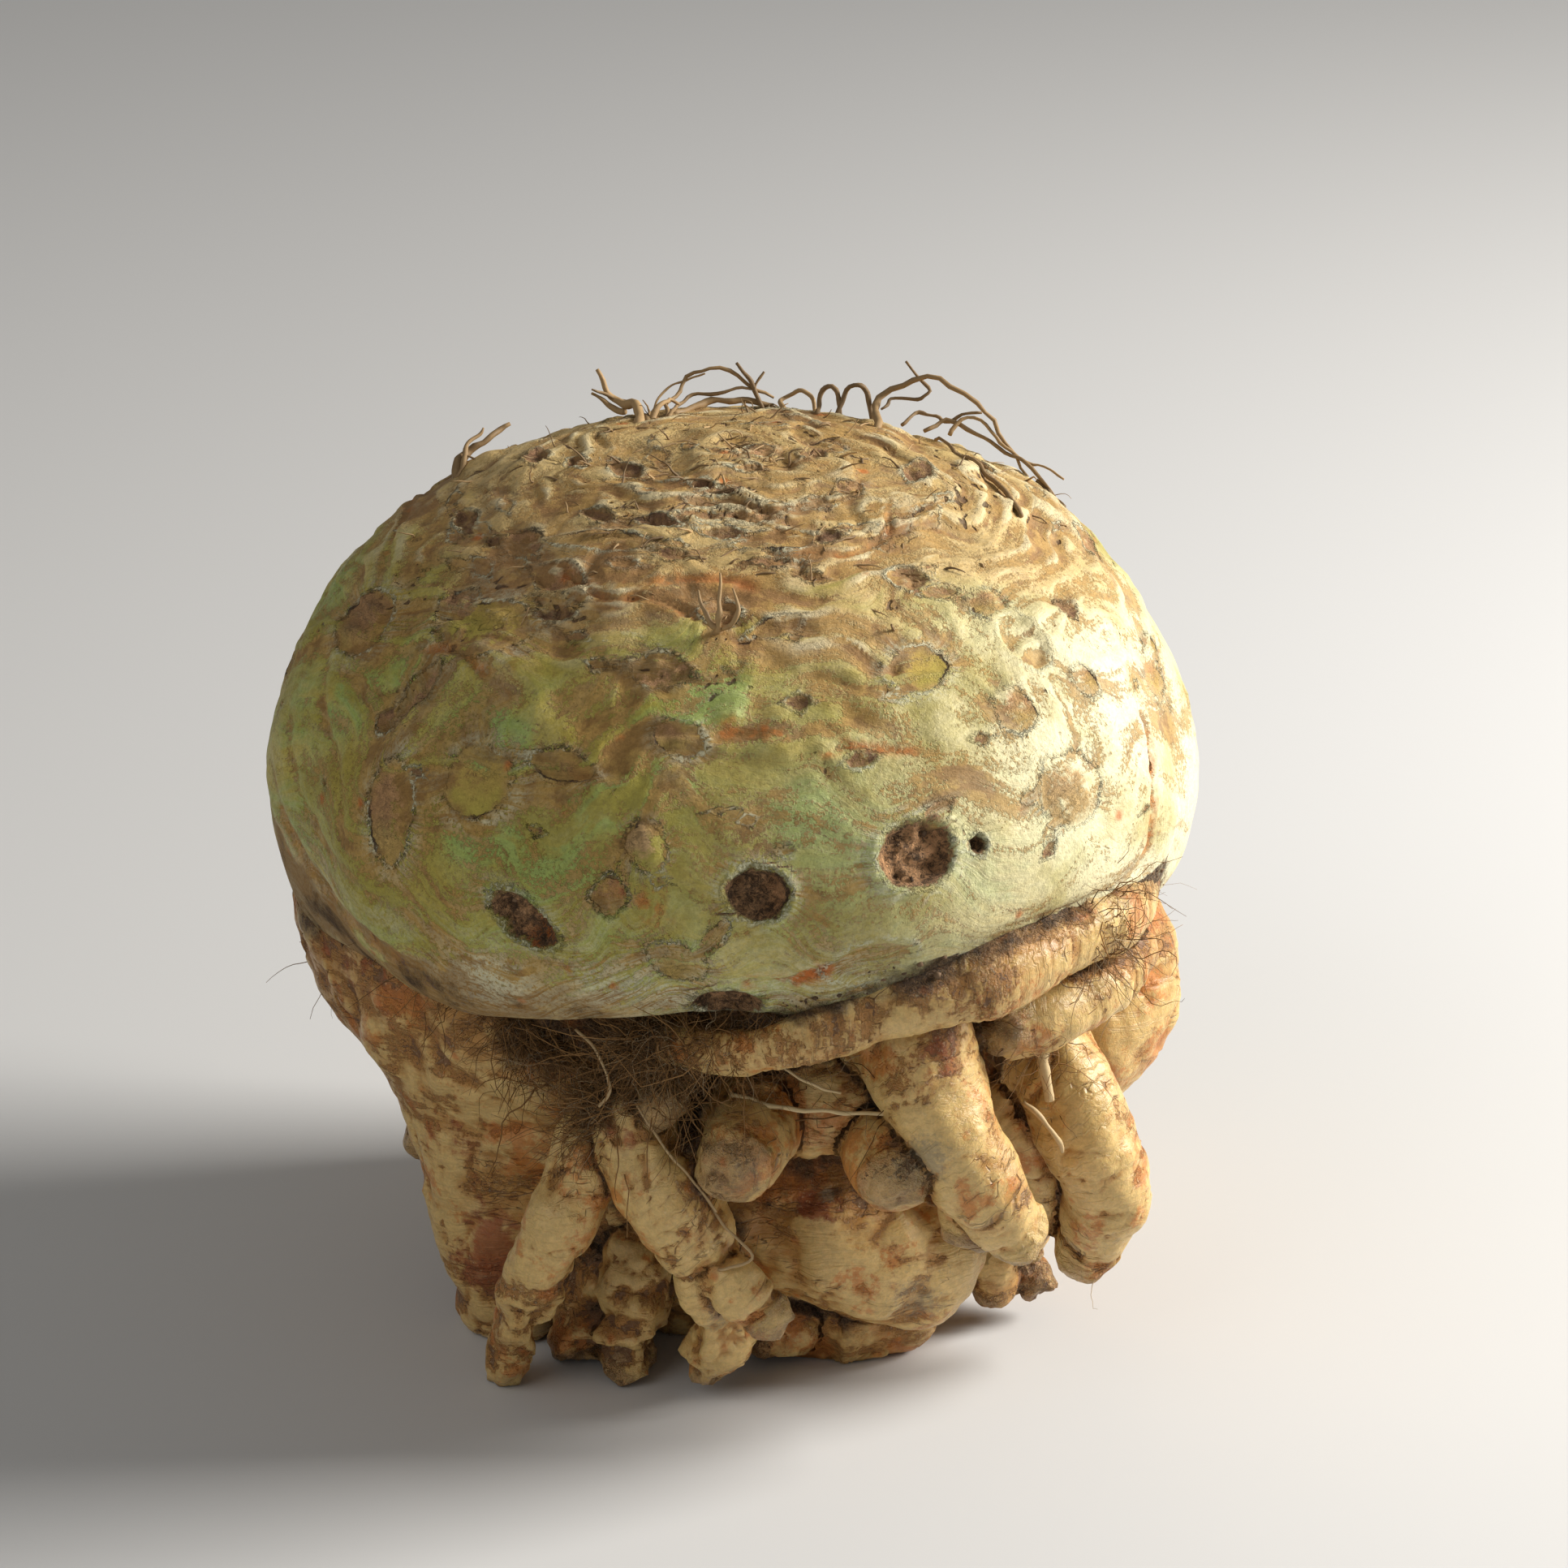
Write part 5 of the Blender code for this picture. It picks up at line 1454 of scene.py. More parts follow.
bulb_material, net, shader = new_material("bulb_skin", 0.62, 0.35)
where = net("ShaderNodeTexCoord").outputs["Object"]
place = net("ShaderNodeSeparateXYZ", {"Vector": where})
skin_lines = net.noise(stretched(net, place, 150.0, net.value("lines"), 1.1), 1.0, 5.0, 0.65, 0.9)
streaks = net.noise(stretched(net, place, 34.0, net.value("lines"), 0.20), 1.0, 6.0, 0.6, 0.7)
tan_streaks = net.noise(stretched(net, place, 36.0, net.value("lines"), 0.24), 1.0, 8.0, 0.64, 0.7)
blotches = net.noise(where, 62.0, 5.0, 0.6)
mottle = net.noise(where, 300.0, 5.0, 0.65)
powder = net.noise(where, 1900.0, 3.0, 0.75)
grain = net("ShaderNodeGroup", {"Vector": where}, node_tree=grain_group)
grain.inputs["Crumb Scale"].default_value = 1300.0
print("bulb: six noises and the grain over the skin")

# %% [markdown]
# Every layer is one colour mixed over those before it, by a mask of the mesh plus noise, cut by a soft
# ramp. The powder is a fine noise cut at a level that slower noises move, so it stands in grains and never
# fades softly.

# %% The bulb's flesh colours and powder
colour = net.mix(net.ramp(blotches, 0.38, 0.62), CREAM, STRAW)
green_tone = net.mix(net.ramp(net.plus(streaks, net.around(blotches, 0.5, 0.8)), 0.44, 0.58), GREEN, OLIVE)
green_cover = net.plus(net.value("green"), net.around(streaks, 0.48, 2.6), net.around(mottle, 0.5, 0.5))
colour = net.mix(net.ramp(green_cover, 0.0, 0.80, 0.0, 0.90), colour, green_tone)
# Painted highlight: the skin on the lamp side is mixed towards pale ivory.
colour = net.mix(net.times(net.value("ivory"), net.ramp(blotches, 0.66, 0.44, 0.35, 1.0)), colour, HIGHLIGHT_IVORY)
ochre_cover = net.plus(net.value("ochre"), net.around(streaks, 0.5, 1.5), net.around(mottle, 0.5, 1.5))
colour = net.mix(net.ramp(ochre_cover, 0.3, 0.8, 0.0, 0.85), colour, OCHRE)
crown_cover = net.plus(net.value("crown"), net.around(tan_streaks, 0.5, 1.5))
colour = net.mix(net.ramp(crown_cover, 0.2, 0.8, 0.0, 0.85), colour, CROWN_CREAM)
# Powder is denser in hollows, partly as real dust and partly as painted shade, and thinner on the lamp side
# as part of the painted highlight.
density = net.plus(
    net.times(net.value("tan"), 0.55),
    net.around(tan_streaks, 0.5, 3.0),
    net.around(blotches, 0.5, 0.6),
    net.around(net.value("hollow"), 0.5, 1.0),
    net.times(net.value("halo"), 0.60),
    net.times(net.value("dusk"), 0.75),
    net.times(net.value("ivory"), -0.12),
)
powder_cut = net.plus(powder, net.times(density, 0.50), net.around(mottle, 0.5, 0.45))
tone_share = net.plus(mottle, net.around(density, 0.5, -0.25), net.times(net.value("dusk"), -0.07))
powder_tone = net.mix(net.ramp(tone_share, 0.40, 0.58), PINK_BROWN, TAN)
colour = net.mix(net.ramp(powder_cut, 0.50, 0.60, 0.0, 0.82), colour, powder_tone)
purple_spots = net.plus(net.noise(where, 170.0, 5.0, 0.65), net.around(powder, 0.5, 0.4))
purple = net.times(net.value("tan"), net.ramp(purple_spots, 0.60, 0.68))
colour = net.mix(net.times(purple, 0.75), colour, PURPLE_BROWN)
colour = net.mix(net.ramp(skin_lines, 0.28, 0.40, 0.35, 0.0), colour, PINK_BROWN)
film = net.plus(net.times(net.ramp(blotches, 0.60, 0.42), 0.14), net.times(net.value("chalk"), 1.4))
film_grain = net.times(net.ramp(skin_lines, 0.40, 0.56), net.ramp(powder, 0.36, 0.52))
film = net.math("MULTIPLY", film, film_grain, clamp=True)
colour = net.mix(net.times(film, 0.75), colour, CHALK)
# Ridges of the tan skin are mixed towards ivory: partly skin rubbed clean, partly a painted highlight.
ridge = net.times(net.ramp(net.value("hollow"), 0.42, 0.12), net.ramp(net.value("tan"), 0.1, 0.5))
colour = net.mix(net.times(ridge, net.ramp(net.value("dusk"), 0.2, 0.8, 0.55, 0.0)), colour, HIGHLIGHT_IVORY)
colour = net.mix(net.times(net.value("rust"), net.ramp(mottle, 0.42, 0.56)), colour, RUST)
crack_share = net.ramp(net.plus(net.value("crack"), net.around(mottle, 0.5, 1.2)), 0.42, 0.62)
colour = net.mix(net.times(crack_share, 0.85), colour, CRACK_BROWN)
specks = net("ShaderNodeGroup", {"Vector": where}, node_tree=speck_group)
specks.inputs["Cell Scale"].default_value = 150.0
specks.inputs["Rarity"].default_value = 0.72
colour = net.mix(net.times(specks.outputs["Mask"], 0.75), colour, RUST)
colour = net.toned(colour, net.ramp(grain.outputs["Tone"], 0.0, 1.0, 0.84, 1.10))
print("bulb: flesh, green, ochre, powder, film, cracks")

# %% [markdown]
# A scar's floor has its kind's own colour. Deep sockets have a sharp edge and dark fibrous fuzz, so their
# floor is broken into light and dark by a threadlike noise. Smooth leaf scars fade out at their edge and
# show a glazed yellow green below. A chalky rim and a thin dark crack follow the edge in places.

# %% Scars in the bulb's skin
gap = distance_from_scar(net, where)
fuzz_noise = net.noise(where, 1000.0, 4.0, 0.8, 1.6)
clods = net.noise(where, 420.0, 4.0, 0.7)
scar_near = net.value("scar_near")
fuzz = net.value("scar_fuzz")
sharp = net.math("MAXIMUM", net.ramp(fuzz, 0.30, 0.60), net.ramp(net.value("scar_crack"), 0.15, 0.55))
soft = net.math("SUBTRACT", 1.0, sharp)
inside = net.plus(net.times(sharp, net.ramp(gap, 0.15, -0.25)), net.times(soft, net.ramp(gap, 0.5, -1.7)))
patches = net.plus(
    net.value("scar_cover"),
    net.around(clods, 0.5, 2.0),
    net.around(fuzz_noise, 0.5, 0.8),
    net.around(mottle, 0.5, 0.8),
)
floor_cover = net.times(scar_near, net.ramp(patches, 0.35, 0.85), inside)
floor_colour = net("ShaderNodeAttribute", attribute_name="scar_floor").outputs["Color"]
lower_part = net.plus(net.value("scar_v"), net.around(blotches, 0.5, 4.0))
glaze = net.times(net.ramp(fuzz, 0.36, 0.14), net.ramp(lower_part, 0.5, -0.6))
floor_colour = net.mix(net.times(glaze, 0.8), floor_colour, GLAZE)
fuzz_light = net.ramp(net.plus(fuzz_noise, net.around(clods, 0.5, 0.9)), 0.34, 0.66, -0.60, 1.5)
fuzz_tone = net.plus(1.0, net.times(fuzz, fuzz_light))
# Painted shade: the wall just inside a fibrous socket's edge is darkened.
wall_shade = net.plus(1.0, net.times(fuzz, net.ramp(gap, -0.9, -0.1, 0.0, -0.28)))
floor_colour = net.toned(floor_colour, net.times(fuzz_tone, wall_shade))
rust_grain = net.ramp(net.plus(fuzz_noise, net.around(clods, 0.5, 1.0)), 0.42, 0.56)
rust_share = net.times(net.value("scar_rust"), rust_grain)
floor_colour = net.mix(net.times(rust_share, 0.9), floor_colour, RUST)
colour = net.mix(floor_cover, colour, floor_colour)
rim_band = net.times(scar_near, net.ramp(gap, -0.05, 0.15), net.ramp(gap, 0.95, 0.35))
rim = net.times(rim_band, net.ramp(powder, 0.36, 0.56))
rim_places = net.plus(net.noise(where, 130.0, 3.0), net.around(mottle, 0.5, 0.6))
rim_share = net.ramp(rim_places, 0.46, 0.62, 0.0, 0.7)
colour = net.mix(net.times(rim, rim_share), colour, CHALK)
broken = net.ramp(net.plus(net.noise(where, 210.0, 3.0), net.around(mottle, 0.5, 0.8)), 0.42, 0.54)
crack_line = net.ramp(net.math("ABSOLUTE", gap), 0.22, 0.06)
scar_crack = net.times(scar_near, net.ramp(net.value("scar_crack"), 0.2, 0.8), broken, crack_line)
colour = net.mix(net.times(scar_crack, 0.9), colour, CRACK_BROWN)
print("bulb: scar floors, rims and cracks")

# %% [markdown]
# What is finer than the mesh is a chain of Bump nodes, each on top of the one before. Each is given its
# height in metres: about a sixth of a millimetre for the powder's grains and nearly one for soil.

# %% Soil and relief on the bulb
soil_node = laid_soil(net, shader, where, colour, "dark")
rough = net.plus(
    net.ramp(powder_cut, 0.48, 0.62, 0.50, 0.74),
    net.times(soil_node.outputs["Cover"], 0.2),
    net.times(floor_cover, 0.1),
)
net.feed(shader.inputs["Roughness"], net.math("MINIMUM", rough, 0.95))
fuzz_relief = net.around(net.plus(fuzz_noise, net.times(clods, 0.8)), 1.05, 1.9)
scar_height = net.plus(
    net.times(rim, net.plus(0.08, net.times(fuzz, 0.25))),
    net.times(floor_cover, net.plus(-0.04, net.times(fuzz, fuzz_relief))),
    net.times(scar_crack, -0.7),
)
LINE_RELIEF, POWDER_RELIEF, SOIL_RELIEF = 0.18 * MM, 0.16 * MM, 0.9 * MM
relief = net.bump(skin_lines, LINE_RELIEF, 0.7)
relief = net.bump(mottle, 0.55 * MM, 0.6, relief)
relief = net.bump(net.ramp(powder_cut, 0.44, 0.66), POWDER_RELIEF, 0.8, relief)
relief = net.bump(grain.outputs["Height"], 0.16 * MM, 0.8, relief)
relief = net.bump(net.plus(scar_height, net.times(crack_share, -0.35)), 1.0 * MM, 1.0, relief)
relief = net.bump(soil_node.outputs["Height"], SOIL_RELIEF, 1.0, relief)
net.feed(shader.inputs["Normal"], relief)
bulb.data.materials.append(bulb_material)
print("bulb's skin has", len(bulb_material.node_tree.nodes), "nodes")

# %% [markdown]
# The roots have no green. Their skin is cream where it was rubbed clean and orange-brown where cork was
# left, and darker in hollows as painted shade; it is ringed with fine wrinkles across each root, and their
# blunt tips are grey-brown. Root flesh lets a little light in, so this material has some subsurface
# scattering.

# %% The roots' skin
ROOT_CREAM, ROOT_BUFF = (0.65, 0.450, 0.172, 1), (0.47, 0.238, 0.060, 1)
ROOT_CORK, ROOT_ORANGE = (0.36, 0.160, 0.045, 1), (0.54, 0.180, 0.028, 1)
ROOT_FLECK, ROOT_CRACK = (0.17, 0.085, 0.040, 1), (0.11, 0.058, 0.03, 1)
TIP_BROWN, TIP_PURPLE = (0.52, 0.33, 0.15, 1), (0.22, 0.125, 0.075, 1)
RUST_RED, GREY_SKIN = (0.32, 0.085, 0.022, 1), (0.26, 0.215, 0.135, 1)
CRUMB_CREAM = (0.68, 0.55, 0.33, 1)

root_material, net, shader = new_material("root_skin", 0.55, 0.5)
shader.inputs["Subsurface Weight"].default_value = 0.18
shader.inputs["Subsurface Radius"].default_value = (1.0, 0.5, 0.2)
shader.inputs["Subsurface Scale"].default_value = 2.5 * MM
where = net("ShaderNodeTexCoord").outputs["Object"]
place = net("ShaderNodeSeparateXYZ", {"Vector": where})
ring_lines = net.noise(stretched(net, place, 130.0, net.value("along"), 1.3), 1.0, 4.0, 0.6, 0.5)
ring_cracks = net.noise(stretched(net, place, 60.0, net.value("along"), 0.42), 1.0, 3.0, 0.5, 0.8)
blotches = net.noise(where, 60.0, 5.0, 0.6)
film_noise = net.noise(where, 120.0, 8.0, 0.62, 0.3)
mottle = net.noise(where, 330.0, 6.0, 0.68)
powder = net.noise(where, 1700.0, 3.0, 0.75)
grain = net("ShaderNodeGroup", {"Vector": where}, node_tree=grain_group)
grain.inputs["Crumb Scale"].default_value = 1000.0
print("roots: six noises and the grain over the skin")

# %% [markdown]
# One amount of cork gives three layers: a buff stain, brown cork where the amount is higher, and dark flecks
# at its peaks. The amount is also raised in hollows, where these darker layers are partly painted shade. As
# they come from the same noise, each lies inside the one before, as on the real skin.

# %% Cork, flecks and tips on the roots
# Buff and cork rise with the hollow value: partly cork, partly painted shade in hollows.
buff_amount = net.plus(
    blotches,
    net.around(net.value("hollow"), 0.5, 0.45),
    net.around(net.value("cork"), 0.25, 0.22),
)
colour = net.mix(net.ramp(buff_amount, 0.35, 0.60), ROOT_CREAM, ROOT_BUFF)
colour = net.mix(net.times(net.ramp(ring_lines, 0.47, 0.64), 0.25), colour, ROOT_CREAM)
cork_and_shade_amount = net.plus(
    film_noise,
    net.around(net.value("hollow"), 0.5, 0.25),
    net.around(net.value("cork"), 0.25, 0.17),
    net.around(ring_lines, 0.5, 0.35),
    net.around(mottle, 0.5, 0.30),
    net.around(powder, 0.5, 0.30),
)
colour = net.mix(net.ramp(cork_and_shade_amount, 0.42, 0.60, 0.0, 0.85), colour, ROOT_BUFF)
cork = net.ramp(cork_and_shade_amount, 0.525, 0.615)
colour = net.mix(net.times(cork, 0.60), colour, ROOT_CORK)
flecks = net.ramp(cork_and_shade_amount, 0.645, 0.69)
colour = net.mix(net.times(flecks, 0.85), colour, ROOT_FLECK)
orange_noise = net.plus(
    net.noise(where, 95.0, 6.0, 0.62),
    net.around(mottle, 0.5, 0.45),
    net.around(powder, 0.5, 0.2),
)
colour = net.mix(net.ramp(orange_noise, 0.535, 0.62, 0.0, 0.70), colour, ROOT_ORANGE)
ring_gap = net.math("ABSOLUTE", net.math("SUBTRACT", ring_cracks, 0.5))
ring_crack = net.times(net.ramp(ring_gap, 0.0, 0.012, 1.0, 0.0), net.ramp(blotches, 0.50, 0.60))
fine_gap = net.math("ABSOLUTE", net.math("SUBTRACT", net.noise(where, 150.0, 4.0, 0.55, 0.6), 0.5))
fine_crack = net.times(net.ramp(fine_gap, 0.0, 0.008, 1.0, 0.0), net.ramp(blotches, 0.58, 0.66))
crack = net.math("MAXIMUM", ring_crack, fine_crack)
colour = net.mix(net.times(crack, 0.6), colour, ROOT_CRACK)
tip_share = net.plus(mottle, net.around(powder, 0.5, 0.6), net.around(film_noise, 0.5, 1.0))
tip_tone = net.mix(net.ramp(tip_share, 0.42, 0.60), TIP_PURPLE, TIP_BROWN)
tip_amount = net.plus(net.value("tip"), net.around(film_noise, 0.5, 2.6), net.around(powder, 0.5, 0.8))
colour = net.mix(net.ramp(tip_amount, 0.35, 0.95, 0.0, 0.65), colour, tip_tone)
rust_amount = net.plus(net.value("rust"), net.around(mottle, 0.5, 1.8), net.around(film_noise, 0.5, 1.4))
colour = net.mix(net.ramp(rust_amount, 0.35, 0.75, 0.0, 0.85), colour, RUST_RED)
grey_amount = net.plus(net.value("grey"), net.around(mottle, 0.5, 1.2), net.around(powder, 0.5, 1.0))
colour = net.mix(net.ramp(grey_amount, 0.30, 0.75, 0.0, 0.70), colour, GREY_SKIN)
pale_crumbs = net.times(net.ramp(powder, 0.58, 0.66), net.ramp(film_noise, 0.46, 0.62))
colour = net.mix(net.times(pale_crumbs, 0.45), colour, CRUMB_CREAM)
specks = net("ShaderNodeGroup", {"Vector": where}, node_tree=speck_group)
specks.inputs["Cell Scale"].default_value = 190.0
specks.inputs["Rarity"].default_value = 0.52
colour = net.mix(net.times(specks.outputs["Mask"], 0.6), colour, RUST)
colour = net.toned(colour, net.ramp(grain.outputs["Tone"], 0.0, 1.0, 0.86, 1.08))
print("roots: cream, cork, flecks, cracks, tips")

# %% [markdown]
# The roots' relief is a like chain: rings first, then cork and cracks, mottle, the worn tips, grain and soil.

# %% Soil and relief on the roots
soil_node = laid_soil(net, shader, where, colour, "soil")
rough = net.plus(net.ramp(cork_and_shade_amount, 0.48, 0.62, 0.36, 0.64), net.times(soil_node.outputs["Cover"], 0.25))
net.feed(shader.inputs["Roughness"], net.math("MINIMUM", rough, 0.95))
relief = net.bump(ring_lines, 0.42 * MM, 0.8)
relief = net.bump(net.math("SUBTRACT", net.plus(cork, flecks), net.times(crack, 1.5)), 0.20 * MM, 0.9, relief)
relief = net.bump(mottle, 0.42 * MM, 0.6, relief)
relief = net.bump(net.times(net.value("tip"), net.plus(powder, mottle)), 0.9 * MM, 0.9, relief)
relief = net.bump(grain.outputs["Height"], 0.16 * MM, 0.8, relief)
relief = net.bump(soil_node.outputs["Height"], SOIL_RELIEF, 0.9, relief)
net.feed(shader.inputs["Normal"], relief)
knot.data.materials.clear()
knot.data.materials.append(root_material)
knot.data.shade_smooth()
print("roots' skin has", len(root_material.node_tree.nodes), "nodes")

# %% [markdown]
# ## Fibres, root hairs and soil crumbs
#
# Dried strands of leaf stalks stand on the crown. Under the lip hangs a mat of brown root hairs, and single
# hairs and thin rootlets cross the gaps. All are tubes along lines. Blender's hair curves would be easier
# to comb, but tubes keep their thickness and place in every program that the model may go to.
#
# A strand bends as it grows: its direction turns a little at each step by a random turn that changes slowly.


# %% Strands that grow from the skin
STRAY_MM = 2.0  # how far past the solid's box a strand may reach


def grown_strands(starts, directions, lengths, curl, sag, steps, rng):
    """Lines of shape (strands, steps, 3).

    The direction at each step is the first one plus curl times the running sum of random turns, plus sag
    times the step's square downwards, brought back to unit length.
    """
    turns = np.cumsum(rng.normal(0, 1, (len(starts), steps, 3)), axis=1) / np.sqrt(steps)
    share = np.linspace(0, 1, steps)[None, :, None]
    heading = directions[:, None] + curl * turns + sag * share**2 * np.array([0, 0, -1.0])
    heading /= length_of(heading)
    travelled = np.cumsum(heading, axis=1) - heading[:, :1]
    return starts[:, None] + travelled * (lengths / (steps - 1))[:, None, None]


def strand_piece(name, lines, thickness, sides, material, shades):
    """Tubes along the lines, thickness wide at the root and a third of that at the tip.

    Lines that reach more than STRAY_MM past the solid's box are left out.
    """
    low, high = (np.array(corner) + side * STRAY_MM * MM for corner, side in zip(cad_box, (-1, 1)))
    kept = np.all((lines > low) & (lines < high), axis=(1, 2))
    lines, thickness, shades = lines[kept], thickness[kept], shades[kept]
    taper = 1 - 0.67 * np.linspace(0, 1, lines.shape[1])
    radii = 0.5 * thickness[:, None] * taper[None]
    points = tube_rings(lines, radii, sides).reshape(-1, 3)
    points[:, 2] = np.maximum(points[:, 2], FLAT_SPOT_Z)
    piece = make_piece(name, points, *tube_faces(len(lines), lines.shape[1], sides))
    give_values(piece, shade=np.repeat(shades, lines.shape[1] * sides))
    piece.data.materials.append(material)
    return piece


def strand_material(name, dark, light, roughness):
    """Dry fibre or soil: a colour between two by the strand's own shade, with fine mottle."""
    material, net, shader = new_material(name, roughness, 0.35)
    where = net("ShaderNodeTexCoord").outputs["Object"]
    mottle = net.noise(where, 900.0, 3.0, 0.7)
    share = net.math("ADD", net.times(net.value("shade"), 0.7), net.times(mottle, 0.45), clamp=True)
    net.feed(shader.inputs["Base Color"], net.mix(share, dark, light))
    net.feed(shader.inputs["Roughness"], net.ramp(mottle, 0.3, 0.7, roughness - 0.12, roughness + 0.1))
    net.feed(shader.inputs["Normal"], net.bump(mottle, 0.08 * MM, 0.6))
    return material


crown_dry = strand_material("dried_fibre", (0.055, 0.030, 0.013, 1), (0.50, 0.33, 0.155, 1), 0.66)
hair_brown = strand_material("root_hair", (0.034, 0.017, 0.006, 1), (0.33, 0.175, 0.058, 1), 0.75)
hair_pale = strand_material("pale_hair", (0.20, 0.13, 0.07, 1), (0.55, 0.42, 0.26, 1), 0.6)
rootlet_skin = strand_material("rootlet_skin", (0.24, 0.13, 0.055, 1), (0.70, 0.55, 0.30, 1), 0.65)
strand_looks = (crown_dry, hair_brown, hair_pale, rootlet_skin)
print("materials for strands:", [look.name for look in strand_looks])

# %% [markdown]
# The crown's large strands are listed one by one, along the same lines as the solid's. Around them stand
# short bristles, most of them bent over.

